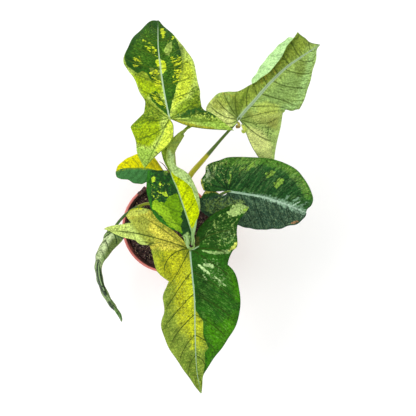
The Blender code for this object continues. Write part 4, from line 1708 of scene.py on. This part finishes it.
RIGHT_TONES = (
    tone("314c38", area(2, "197,200 228,191 262,198 308,212 300,226 262,234 200,220"), soft=2),
    tone("214c20", area(1, "242,172 265,168 290,176 304,196 285,200 262,194 240,190 226,184"), soft=5),
    tone("55862a", area(1, "222,156 241,155 270,157 287,163 300,172 309,185 314,199 305,198 297,182 284,171 "
        "266,165 240,163 224,168"), ragged=2, soft=1.5, share=0.7),
    tone("8aa24e", area(1, "203,163 226,157 230,164 208,170 203,192 199,181"), area(1, "236,156 262,158 "
        "258,168 240,176 230,172"), area(1, "262,158 298,170 312,196 304,194 286,172"), ragged=2, soft=1,
        dots=6, cover=0.42, flow=True, share=0.7),
    tone("a5b892", area(1, "207,167,0.9 209,173,1.5 204,180,0.6"), ragged=1.5, soft=0.6, share=0.8),
    tone("5c7f45", area(1, "222,158 270,160 300,176 310,200 270,200 230,188"), dots=2.5, cover=0.4,
        flow=True, soft=2, share=0.5),
    tone("6b8a66", area(2, "200,200 228,192 262,199 306,213 296,224 262,230 210,218"), dots=2.5, cover=0.4,
        flow=True, soft=2, share=0.5),
    tone("748f4c", area(2, "203,199 228,195 246,200 244,212 222,217 204,212"), dots=380, cover=0.62,
        soft=2.5, share=0.85),
    tone("1f3a2c", area(2, "256,206 286,212 296,218 276,227 252,226"), area(2, "228,205 246,208 246,226 "
        "228,222"), dots=230, cover=0.5, soft=3, share=0.65),
    tone("7ba03c", area(1, "273.5,183 279,178 283.5,179 282.5,184 277,187.5 273.5,186"),
        area(1, "265.5,173.5 271,170.5 275,172.5 271.5,176.5 266.5,177.5"), area(1, "253,164,1.4 "
        "247,170.5,0.7"), area(1, "230,172,0.7 231,178,0.9 229.5,184,0.5"), area(1, "240,171,0.5 "
        "247,163,0.3"), area(1, "217,163,0.8 214,170,1"), ragged=1.5, soft=0.6),
    tone("9bb07a", area(1, "215,166,1.4 213,175,1.8 209,181,1.2"), ragged=2.2, soft=0.8, share=0.4),
    tone("b4c070", area(1, "202,166 222,158 234,164 230,186 204,190"), dots=400, cover=0.15, soft=1,
        share=0.8),
    tone("10261a", area(1, "228,189.5,0.5 219,181,0.5 210,170,0.2"), area(1, "228,189.5,0.5 223,177,0.6 "
        "218,164,0.2"), area(1, "228,189.5,0.5 216,186,0.6 205,182,0.2"), area(1, "229,189.5,0.5 "
        "232,176,0.6 238,163,0.2"), area(1, "231,190,0.4 240,180,0.5 252,168,0.2"), ragged=0.6, soft=0.6,
        share=0.8),
    tone("87a06a", area(2, "197,203 222,196 262,200 304,214 300,226 262,234 205,220"), area(1, "205,165 "
        "224,160 222,178 204,186"), soft=2, dots=560, cover=0.24, share=0.28),
    tone("86a98a", area(1, "240,192.6,0.3 262,196,1.5 282,201.3,2.3 303,210.7,2.6"), area(2, "246,195.2,0.1 "
        "264,198.6,0.9 282,204.3,1.6 303,213.4,2"), area(1, "268,199,1 270,194.5,0.3"),
        area(1, "282,203,1.1 289,195,0.4"), area(1, "289,206,1.3 299,197,0.5"), area(1, "296,209,1.2 "
        "307,202,0.4"), ragged=1.8, soft=1.2, share=0.7),
    tone("b3cfb4", area(0, "246,194,0.2 264,197.3,0.9 284,203.6,1.1 303,211.5,0.8"), area(1, "290,206.5,0.5 "
        "300,201,0.2"), ragged=0.9, soft=0.5, share=0.85),
    tone("b5b552", area(1, "201,180,0.5 203.5,190,0.8"), area(2, "197,205,0.4 201,196,0.9 206,191.6,1.3 "
        "215,191,1.3 221,194.8,0.5"), soft=0.4),
    tone("8a6a48", area(2, "292,223,0.9 298,221,0.7"), area(0, "199,193.5,1 201,195,0.6"), soft=0.4),
)

RIGHT = Leaf(
    name="right",
    midrib=places("306,212.6,205 293,207.2,214 278,201.5,221 262,196.7,226 245,193.8,229 228,191,229"),
    halves=(
        Half(side=[places("0,306,212.6,205 0.03,307.2,208.5,207 0.07,311.5,204,210 0.13,313,197,215 "
            "0.24,308,185,223 0.38,299,172,231 0.53,287,164,236 0.72,270,158.5,239 0.88,255,157.3,240 "
            "1,241,156.8,240")],
            lobe=[places("241,156.8,240 228,157.3,239 219.5,160.2,237 211,162.8,235 206.2,166.4,233 "
            "205.4,173,231 200.7,181,230 203.5,190.5,229")],
            inner=places("226,190.8,229 220,191.3,229 212,191.6,229"), arch=0.08, **SIDE_VEINS),
        Half(side=[places("0,306,212.6,205 0.05,305,217,204 0.12,301,221,206 0.2,295.5,224.4,208 "
            "0.28,288,226,210 0.4,279,228.8,211 0.52,270,229,212 0.66,261,229.8,213 0.78,254,228.8,213 "
            "0.9,246,227.7,214 1,239,225,215")],
            lobe=[places("239,225,215 228,223,216 215,219.5,217 203,213,218 197,205,219")],
            inner=places("226.6,194.4,227 222.6,195.6,226 218,193,225.5 213,190,225 206,190,223.5"),
            arch=0.08, **SIDE_VEINS),
    ),
    stem_height=112, stem_azimuth=8,
    path=places("194,206,148 204,202,182 217,196.5,210"),
    upper=LeafFinish(ground="2f5c27", vein="132d17", rib="abcbb0", vein_share=0.55, net=0.18, mottle=1.5,
        layers=RIGHT_TONES),
    under=underside("7d9c74"),
    stalk=GREEN_STALK, rib_width=1.4,
)

FRONT_TONES = (
    tone("b9be1e", area(1, "190,248 192,300 194,326 190,336 181,328 174,308 173,286 160,274 155,256 "
        "168,238"), area(2, "193,311 197,313 203,321 203,336 202,346 196,344"), soft=9, ragged=3),
    tone("d6cf4c", area(1, "192,247 178,231 162,214 150,203 130,202 120,212 128,224 138,232 146,243 152,250 "
        "175,250"), soft=2.5),
    tone("a3b75a", area(1, "140,206 152,208 146,213 138,212"), area(1, "150,243 133,241 134,230 142,232"),
        soft=2),
    tone("c5db70", area(1, "98,229 118,221 131,219 135,226 139.5,233.5 146,242 151,249 133,246 116,241"),
        ragged=0.8, soft=0.5),
    tone("93a03f", area(1, "127,221 134,217 145,215 151,222 148,230 155,236 155,245 146,244 140,236 "
        "132,227"), ragged=1.5, soft=2, share=0.85),
    tone("b6c455", area(1, "122,211 134,206 147,208 148,213 136,216 126,219"), soft=1.5, share=0.8),
    tone("5a5a18", area(1, "189,248.5,0.5 172,236,0.7 155,224,0.6 138,214,0.3"), ragged=0.4, soft=0.5,
        share=0.7),
    tone("d0d822", area(1, "128,211.5,0.5 135,208.6,0.8 143,208.2,0.8"), soft=0.4),
    tone("7f8420", area(0, "190,249 192,300 196,345 180,330 172,285 150,250 134,216 152,208 170,226"),
        soft=2, dots=520, cover=0.42, share=0.75),
    tone("465f18", area(0, "150,246 158,262 171,281 163,296 164,310 161,325 168,344 184,368 201,393 199,366 "
        "188,344 178,322 176,300 178,284 170,262 160,245"), area(1, "152,207 172,226 184,240 178,244 "
        "158,228 146,215"), soft=4, dots=500, cover=0.56, share=0.8),
    tone("b4c64c", area(0, "192,262 196,300 204,350 201,393 180,366 160,335 160,300 172,280"), soft=2,
        dots=440, cover=0.34, share=0.5),
    tone("ccd51e", area(1, "189,266,1.2 190.5,300,3 191.5,330,2.8 192.5,348,1"), ragged=2, soft=3,
        share=0.75),
    tone("557622", area(0, "184,352 200,350 203,362 202,393 190,384 178,362"), area(2, "199,334 204,337 "
        "209,350 205,366 199,364"), soft=2, dots=460, cover=0.55, share=0.65),
    tone("4c5c1c", area(1, "178,244 189,241 190.5,250 190.5,262 184,258"), soft=2.5, ragged=1.5, share=0.5),
    tone("265c12", area(2, "189.6,249 196,246 194,238 198,222 210,205 240,198 254,204 252,250 246,300 "
        "238,335 217,360 203,374 204.9,364 204.9,352 208.5,348 203.2,336 203.4,321.5 196.2,311 194,300 "
        "192.4,280 190.8,262"), ragged=0.45, soft=0.2),
    tone("418205", area(2, "207,316 216,326 236,312 236,330 216,354 207,366 207,352 211,348 206,336"),
        area(2, "228,268 240,285 243,300 236,300 232,285"), soft=5, share=0.9),
    tone("1d4413", area(2, "196,240 203,222 222,208 240,204 236,240 215,249"), area(2, "193,262 200,262 "
        "214,290 210,300 196,300"), soft=5, ragged=2, share=0.8),
    tone("17361a", area(2, "196,247,0.3 212,229,0.55 230,210,0.3"), area(2, "196,272,0.2 212,290,0.4 "
        "228,297,0.3 236,315,0.2"), area(2, "196,288,0.2 214,310,0.4 224,326,0.3"), ragged=0.3, soft=0.5,
        share=0.7),
    tone("6f9c45", area(2, "194,262 232,266 240,300 226,344 208,350 200,316"), area(2, "200,244 206,224 "
        "230,206 236,240 216,252"), dots=5, cover=0.34, flow=True, soft=2, share=0.38),
    tone("a9c46a", area(2, "203,242 208,224 228,208 240,206 238,240 218,250"), dots=330, cover=0.2, soft=1.5,
        share=0.6),
    # Painted shade: dark brown-olive patch by the petiole's junction.
    tone("4a4a1e", area(2, "190,236 199,237 200,245 193,249"), soft=1, share=0.9),
    tone("a9c886", area(2, "199,264.5,0.7 204,269,1.2 209,273.5,0.9"), area(2, "205,264.5,1.5 212,266,1.8"),
        area(2, "203.5,275,0.4 207,280,0.4"), area(2, "214,276,0.4 220,281,0.6 226,286,0.3"),
        area(2, "193,282,0.6 194.5,302,0.5"), ragged=1.1, soft=0.4),
    tone("93b56c", area(2, "203,250.8,0.7 214,253,1.3 229,251,2.2"), ragged=0.9, soft=0.8, share=0.85),
    tone("8db06c", area(2, "199,259 218,257 228,284 220,287 203,272"), area(2, "220,230 237,228 237,246 "
        "222,248"), dots=470, cover=0.3, soft=1.5, share=0.7),
    tone("c3cf5c", area(2, "229,250.5,1 234,247.5,2 237,242,1.3"), soft=0.6),
    tone("b2d07a", area(2, "227,213 235,202 246,198 253,205 246,214 241,212 235,217"), soft=1, ragged=2.6,
        share=0.9),
    tone("5a8a34", area(2, "228,212 235,202 246,198 253,205 246,213 236,214"), dots=330, cover=0.22, soft=1,
        share=0.75),
    tone("93bd3c", area(2, "243.5,210.5,1.3 248,208.5,1.5"), soft=0.6, share=0.9),
    tone("2f5a2a", area(2, "231,210,0.4 238,206,0.5 245,205,0.3"), soft=0.6, share=0.6),
)

FRONT = Leaf(
    name="front",
    midrib=places("201,393.5,196 196.5,368,206 195,330,220 194.5,300,230 192.8,280,236 191,262,240 "
        "190,249,240"),
    halves=(
        Half(side=[places("0,201,393.5,196 0.13,191.2,380.8,201 0.25,183,368.8,206 0.36,175.3,357.8,211 "
            "0.48,167,344,217 0.6,162,330,222 0.66,161.5,321.5,224 0.72,164,312.5,227 0.79,164,304,229 "
            "0.85,163,296.5,230 0.92,165.3,289,233 1,169.5,281.5,234")],
            lobe=[places("169.5,281.5,234 160,274.5,235 155.5,268,234 152.5,256,232 149.8,246,230 "
            "146.2,243.3,228.5 141.5,244,226 137.5,241.7,224.5 133.8,238,222.5 131,235.8,221 "
            "123.7,237.2,217 117,235,212 110,231.6,206 103.5,229,202"), places("103.5,229,202 109,226.5,208 "
            "120,225.3,214 132,224.3,222"), places("132,224.3,222 128.7,219.5,222 125.8,215.8,221")],
            inner=places("186,243,240 177,233.5,239 167.5,225,236 158,215.5,233 150,209.3,229 140,207.3,226 "
            "131,209.5,223"), bend_power=6, arch=0.09, veins=7, lobe_veins=4),
        Half(side=[places("0,201,393.5,196 0.06,202.4,385,198 0.14,204,373.5,202 0.26,212.8,360,207 "
            "0.38,223,346,213 0.52,233,331,219 0.64,239,315.5,224 0.76,240.3,300,229 0.88,238,282,234 "
            "0.95,233.8,271.5,236 1,227.5,264.5,238")],
            lobe=[places("227.5,264.5,238 229.3,258,239 232.8,251,240 237.3,245.5,241 236.7,231,244 "
            "239,221,247 245.5,212.5,249 249,207,249")],
            inner=places("197,246,242 195.5,238,244 199,228,247 205.5,220.5,249 213,214,251 225,207.7,252 "
            "238,203,252"), arch=0.09, veins=7, lobe_veins=3),
    ),
    stem_height=106, stem_azimuth=-85,
    path=places("183.5,231,148 187,243,190 188.8,247.5,222"),
    upper=LeafFinish(ground="849c38", vein="334a14", rib="aecdb0", vein_share=0.85, mottle=1.4, swell=0.12,
        layers=FRONT_TONES),
    under=underside("a9c08a"),
    stalk=GREEN_STALK, rib_width=1.05, columns=150, rows=30,
)

CENTRE_TONES = (
    tone("2f7018", area(1, "143,168 150,168 150.5,180 150,196 154,210 166,222 182,231 182,240 160,228 "
        "146,206"), soft=1.5, ragged=1, share=0.85),
    tone("2f6a20", area(1, "150,170 172,172 180,196 178,206 160,204 150,196"), dots=240, cover=0.42,
        soft=1.5, share=0.8),
    tone("6a960e", area(1, "151.8,201.3 153.7,208.6 161.7,216 164.4,221 169.7,226.4 175,229 181.6,232 "
        "181,226 182,220.5 180.3,215 183,210 181.6,204.6 179,198 177,192 174,193.3 172,196 168.4,197 "
        "164.4,202 157.7,202.6 155.1,200"), ragged=1.3),
    tone("8ab420", area(1, "151.8,201.3 153.7,208.6 161.7,216 166,221 172,226 178,231 179,226 172,218 "
        "168,208 162,202.6 155,200"), ragged=1.6, soft=0.8),
    tone("b0d030", area(1, "151,177 154.5,176.5 155.5,181 152.5,182.5"), area(1, "160.5,181.5,0.7 "
        "160,185,0.8"), area(1, "157.5,191.5,0.7 160,192.5,0.7"), area(1, "162.5,193 166,191.5 167.5,196 "
        "164.5,197.5"), area(1, "152,193,0.3 154,196,0.5"), ragged=1, soft=0.25),
    tone("b0c840", area(1, "150,184 170,182 172,196 152,200"), dots=420, cover=0.12, soft=1),
    tone("c9dc00", area(2, "150,110 230,110 230,250 186,250 180,215 168,180"), ragged=0),
    tone("8c9a10", area(2, "168,170 210,170 210,246 190,246"), dots=620, cover=0.34, soft=1, share=0.5),
    tone("9fb63e", area(0, "150,110 212,110 192,140 178,166 171,173 163,163 150,159"), ragged=0.8, soft=1),
    tone("86a83c", area(1, "158,150 166,158 170,170 166,174 158,160"), soft=2),
    tone("9cbf6c", area(2, "186,229 202,226 204,254 184,254"), area(1, "180,238 188,232 194,252 184,252"),
        soft=1.5),
)

CENTRE_UNDER_TONES = (
    # Painted shade: olive on the pale underside inside the roll at the top of the blade.
    tone("85983a", area(0, "150,110 210,110 192,138 180,160 166,158 158,140"), soft=4),
    tone("b4d180", area(0, "168,150 178,158 190,176 204,200 198,205 180,180 170,168"), soft=2),
    tone("6f9430", area(0, "150,110 212,110 206,236 190,236"), soft=2, dots=420, cover=0.3, share=0.6),
)

CENTRE = Leaf(
    name="centre",
    midrib=places("196,118,274 188,127.5,278 180,137,281 171.5,150,282 169.5,162,281 171,174,279 "
        "177,188,275 183,205,268 189,223,259 191.5,232,254 191.3,240,250"),
    halves=(
        Half(side=[places("0,196,118,274 0.1,185.5,127.8,279 0.18,177.5,134,281 0.24,169,142.5,282 "
            "0.29,161.8,149.5,282.5 0.34,162.3,155.5,282 0.4,165,163.5,281 0.45,168.5,170.5,280"),
            places("0.45,168.5,170.5,280 0.5,148,170.5,278"), places("0.5,148,170.5,278 "
            "0.55,146.8,178,276.5 0.62,146.5,188,275 0.69,147.6,196,273.5 0.76,150,205.5,271 "
            "0.82,153.5,213.5,268 0.87,160,221.5,264 0.92,170,228.3,261 0.96,179.5,232.5,258 "
            "1,184,238.5,254")],
            lobe=[places("184,238.5,254 185,243.5,252 187.7,248,250")],
            inner=places("189.8,244.5,250"), veins=9, lobe_veins=1),
        Half(side=[places("0,196,118,274 0.05,194.5,122.5,277.5 0.1,190.5,127.5,281.5 "
            "0.18,178.5,133.5,292.5 0.27,168.5,147,295 0.36,166,158,294 0.44,169.5,167.5,289 "
            "0.49,174,174.8,287 0.545,181,179,286 0.6,187,183.2,285 0.64,190,186.7,284.5 0.69,193,192.3,283 "
            "0.74,195.8,199,281 0.78,197.8,205.5,278.5 0.835,198.3,213,275 0.89,196.8,219.5,269.5 "
            "0.945,194.6,229,261 1,193.4,235.5,255")],
            lobe=[places("193.4,235.5,255 194.6,240,253 194.2,244.5,251 192.6,246.5,250")],
            inner=places("192,243.5,250"),
            fold=places("0.13,190.2,129,279.6 0.2,187,132.5,281 0.27,182.2,139,282 0.34,178.3,145.5,283 "
            "0.39,175,152,282.5 0.43,174,158,281.5 0.47,174.8,163.5,281 0.51,178,167.3,280 "
            "0.545,183,170,279.5 0.58,187,173,279 0.636,191.3,178.5,277.5 0.68,194.3,184.5,276 "
            "0.727,197,191,274 0.773,199,198.5,271.5 0.818,200.2,207,268.5 0.863,199.4,214.5,265 "
            "0.93,196.6,223,261"), ramp=0.12, rise=2.5, arch=0, veins=9, lobe_veins=1),
    ),
    stem_height=0, stem_azimuth=0,
    path=places("183.5,214,178 187.5,227,212 190.6,237.5,238"),
    upper=LeafFinish(ground="1f411f", vein="2a5a1c", rib="a9cd98", vein_share=0.35, mottle=1.15,
        layers=CENTRE_TONES),
    under=underside("a9c470", vein="6f9048", rib_share=0.4, layers=CENTRE_UNDER_TONES),
    stalk=GREEN_STALK, rib_width=1, quilt=0.3,
)

LEFT_TONES = (
    tone("e2de00", area(1, "105,166 116,171.6 121,169.2 130,168.2 148,168.7 170,174 176,150 130,145"),
        ragged=0.3, soft=0.25),
    tone("a3920c", area(1, "140,160 150,158 165,162 166,172 150,168"), soft=3, ragged=2, share=0.7),
    tone("9c9c0c", area(1, "114,168 130,155 170,150 170,175 130,170"), dots=560, cover=0.3, soft=1,
        share=0.7),
    tone("8c9a1c", area(0, "116,171.6,0.4 130,168.6,0.5 148,169,0.5 165,174,0.5"), soft=0.5, share=0.7),
)

LEFT = Leaf(
    name="left",
    midrib=places("116,171.5,200 121,169,203 130,168,207 148,168.5,212 165,173,213"),
    halves=(
        Half(side=[places("0,116,171.5,200 0.08,118.3,165.7,202 0.18,123,161,205 0.32,128.5,157.6,208 "
            "0.5,137.5,153.8,211 0.75,145.5,153,212 1,152,155.5,212")],
            lobe=[places("152,155.5,212 156.5,160.5,211 160,167,209")],
            inner=places("163,171,211")),
        Half(side=[places("0,116,171.5,200 0.07,116.7,177,199 0.16,120.5,178.9,201 0.3,127.5,179.7,203 "
            "0.45,134,183,204 0.62,141,184,205 0.8,147.5,182,207 1,155,183.5,208")],
            lobe=[places("155,183.5,208 161,184.8,206 166,182,204")],
            inner=places("166.6,177.5,210")),
    ),
    stem_height=118, stem_azimuth=150,
    path=places("174.5,198,148 170,187,175 167,178.5,198"),
    upper=LeafFinish(ground="427a40", vein="2f5a26", rib="557a30", vein_share=0.35, rib_share=0.3,
        mottle=0.7, layers=LEFT_TONES),
    under=underside("9fb87c"),
    stalk=GREEN_STALK, rib_width=0.8, quilt=0.3, columns=90, rows=20,
)

DROOPING_TONES = (
    tone("c9dba0", area(0, "103,238 112,232 115,239 107,251 100,257 97.5,252"), area(0, "97,256 101,256 "
        "101,282 97,282"), soft=2),
    tone("66793c", area(2, "112,238 122,238 112,254 104,262 106,250"), soft=2),
    tone("3c5a3e", area(2, "118,224 132,219 133,228 124,240 116,236"), soft=1.5),
    tone("152f18", area(0, "98.4,260,0.6 98.6,270,2.2 100.8,284,2.6 106,295,1.4"), area(0, "109.6,302,1.3 "
        "113.5,309,1.3"), soft=0.6, ragged=0.7),
    tone("55823a", area(1, "105,234,0.6 99,242,0.9 95,256,0.7 95,270,0.5 99,288,0.6"), area(0, "115,308 "
        "124,318 122,324 116,314"), soft=0.8),
    tone("5f7840", area(0, "90,225 130,225 110,262 104,280 124,326 100,300"), dots=480, cover=0.32, soft=2,
        share=0.7),
)

DROOPING = Leaf(
    name="drooping",
    midrib=places("121.5,321.5,62 117,311,75 111,301.5,88 104,290,103 99.8,278,117 98.8,264,131 "
        "100.5,251,144 105.5,240,155 113,231.5,162"),
    halves=(
        Half(side=[places("0,121.5,321.5,62 0.06,118.3,315.5,65 0.14,113,309.3,69 0.22,107.3,303,75 "
            "0.32,101,291.5,86 0.43,97.3,281,98 0.55,95,269,112 0.68,95.8,257,127 0.8,98.2,248.7,139 "
            "0.9,101.8,243,148 1,103.5,237,153")],
            lobe=[places("103.5,237,153 106,232.5,156 109,228.5,159")],
            inner=places("111.3,229.5,161"), arch=0.05, veins=10),
        Half(side=[places("0,121.5,321.5,62 0.06,122.3,318.5,62 0.14,120.3,313.2,67 0.24,116,306,76 "
            "0.34,110.8,298,87 0.46,104.8,285.5,101 0.56,102.2,274.5,114 0.66,102.4,264.5,127 "
            "0.76,107,258,137 0.86,111.5,252,145 0.93,115.6,247.4,150 1,121.4,241.4,153")],
            lobe=[places("121.4,241.4,153 127,234.5,152 131,227,151 130,221.5,151")],
            inner=places("118,227.5,161 124,223.5,156"), arch=0.05, veins=10),
    ),
    stem_height=100, stem_azimuth=196,
    path=places("167,212,122 158,206.3,142 148,203.7,156 139,206.3,166 127.6,213,172 121,219.3,173 "
        "116.5,225,170"),
    upper=LeafFinish(ground="85a05e", vein="24401a", rib="6f8a58", vein_share=1, rib_share=0.12, gloss=0.42,
        mottle=1.2, swell=0.12, layers=DROOPING_TONES),
    under=underside("7c9960", vein="3f5f34"),
    stalk=StalkFinish(lower="8f9a1c", upper="47682f", change=0.62), rib_width=0.9, quilt=0.5, wave=0.5,
)

LEAVES = (UPPER_LEFT, UPPER_RIGHT, RIGHT, FRONT, CENTRE, LEFT, DROOPING)


@dataclass(frozen=True)
class Curl:
    """A narrow rolled strip at the edge of a blade.

    Attributes:
        name: the piece's name.
        slot: name of the blade that it belongs to; not used.
        path: places along it.
        radii: its radius at each place, in millimetres.
        finish: its skin.
        steps: steps along it.
    """

    name: str
    slot: str
    path: Sequence[Spot]
    radii: Sequence[float]
    finish: StalkFinish
    steps: int = 36

    def build(self) -> Object:
        """Build the strip.

        Returns:
            The piece.
        """
        path = evenly([PLAN.place(*spot) for spot in self.path], self.steps)
        radii = []
        for i in range(self.steps + 1):
            t = (len(self.radii) - 1) * i / self.steps
            low = min(int(t), len(self.radii) - 2)
            size = self.radii[low] + (self.radii[low + 1] - self.radii[low]) * (t - low)
            radii.append(size * MM * (1 + 0.12 * math.sin(2.1 * i)))
        piece = Tube(self.name, path, radii, groove=0.5, sides=14).build(self.finish.make(self.name))
        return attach(piece, "root")


CURLS = (
    Curl("auricle_centre", "blade_centre", places("182.5,232.5,256 186.5,236,255 187.6,241,254 "
        "187.4,245.5,252.5 190,248.6,251.6 193.6,247.6,251.8 194.2,244.5,252.4 192,243,252.6"),
        (0.5, 1.3, 1.5, 1.5, 1.3, 1.1, 0.8, 0.4),
        StalkFinish("9fc07a", "7fa350", 0.6)),
    Curl("margin_centre", "blade_centre", places("196.8,219.5,270 195.2,226,264.5 193.6,233,259 "
        "192.6,240,254 191.6,245,252"), (0.4, 1.1, 1.3, 1.2, 0.6),
        StalkFinish("9cc07c", "8db56a", 0.5)),
    Curl("collar_front", "blade_front", places("190.5,249.3,243 194,249,243.6 198,246.6,244 202,244.2,244"),
        (0.6, 0.8, 0.7, 0.3),
        StalkFinish("a3c890", "5f8f40", 0.7)),
    Curl("auricle_upper_right", "blade_upper_right", places("236,121.5,286.5 238.6,123.6,286 "
        "238.9,126.6,285 236.6,127,285 236.8,124.8,286"), (0.6, 1.4, 1.7, 1.3, 0.5),
        StalkFinish("b0a844", "8f7a38", 0.5)),
    Curl("auricle_upper_right_2", "blade_upper_right", places("241.5,124.5,284 243.8,127.5,282 "
        "245.2,130.6,280 243,132,280 241.8,129.6,281"), (0.6, 1.7, 2, 1.5, 0.5),
        StalkFinish("c3d256", "a9bd48", 0.5)),
    Curl("dry_edge_centre", "blade_centre", places("159.5,161.5,281 163.5,164.5,281.5 166.5,168.5,281.5 "
        "169.3,173,280.5"), (0.25, 0.4, 0.45, 0.5),
        StalkFinish("4a3a24", "6b5638", 0.5)),
)


# Stage


@dataclass
class Studio:
    """Pale floor, soft lights and the camera of the view from straight above.

    Attributes:
        floor_size: side of the floor.
        sky: colour of the sky.
        sky_strength: its brightness.
    """

    floor_size: float = 6.0
    sky: Colour = (1.0, 1.0, 1.0)
    sky_strength: float = 0.92

    def build(self) -> None:
        """Build the stage, the lights and the camera."""
        self._floor()
        self._lights()
        self._camera()

    def _floor(self) -> None:
        """Lay a plain pale floor."""
        side = self.floor_size / 2
        corners = [Vector((x * side, y * side, 0)) for x, y in ((-1, -1), (1, -1), (1, 1), (-1, 1))]
        data = mesh_of("floor", corners, [(0, 1, 2, 3)], {})
        sheet = NodeSheet("floor_paint")
        data.materials.append(sheet.finish(base_color="ffffff", roughness=0.9, specular_ior_level=0.2))
        linked("floor", data)

    def _light(self, name: str, place: Vector, size: float, power: float, aim: Vector) -> None:
        """Hang one square soft light.

        Args:
            name: its name.
            place: where it stands.
            size: its side.
            power: its watts.
            aim: the point that it faces.
        """
        data = bpy.data.lights.new(name, "AREA")
        data.shape = "SQUARE"
        data.size = size
        data.energy = power
        lamp = linked(name, data)
        lamp.location = place
        lamp.rotation_mode = "QUATERNION"
        lamp.rotation_quaternion = (aim - place).to_track_quat("-Z", "Y")

    def _lights(self) -> None:
        """Set up an even sky and two soft lights."""
        world = bpy.data.worlds.new("soft_sky")
        world.use_nodes = True
        sky = world.node_tree.nodes["Background"]
        sky.inputs["Color"].default_value = (*self.sky, 1.0)
        sky.inputs["Strength"].default_value = self.sky_strength
        bpy.context.scene.world = world
        aim = Vector((0.02, 0.02, 0.2))
        self._light("key_light", Vector((-0.7, 0.5, 1.5)), 0.8, 8.5, aim)
        self._light("fill_light", Vector((0.9, -0.6, 1.2)), 1.2, 2.0, aim)

    def _camera(self) -> None:
        """Put the camera at the plan's eye, looking straight down."""
        data = bpy.data.cameras.new("camera")
        data.sensor_width = 36.0
        data.lens = data.sensor_width / 2 / (PLAN.middle[0] * PLAN.slope)
        data.clip_start = 0.01
        camera = linked("camera", data)
        camera.location = PLAN.eye()
        bpy.context.scene.camera = camera
        bpy.context.scene.view_settings.view_transform = "Standard"


def main() -> None:
    """Build and dress every piece, then the stage."""
    logging.basicConfig(level=logging.INFO, format="%(name)s: %(message)s")
    pot = Pot()
    pot.dress(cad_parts["pot"])
    LOG.info("pot dressed")
    for piece in Soil(pot).build():
        LOG.info("%s: %d points", piece.name, len(piece.data.vertices))
    stem = Stem()
    LOG.info("%s built", stem.build().name)
    for leaf in LEAVES:
        for piece in leaf.build(stem):
            LOG.info("%s: %d points", piece.name, len(piece.data.vertices))
    for curl in CURLS:
        LOG.info("%s built", curl.build().name)
    Studio().build()


if __name__ == "__main__":
    main()
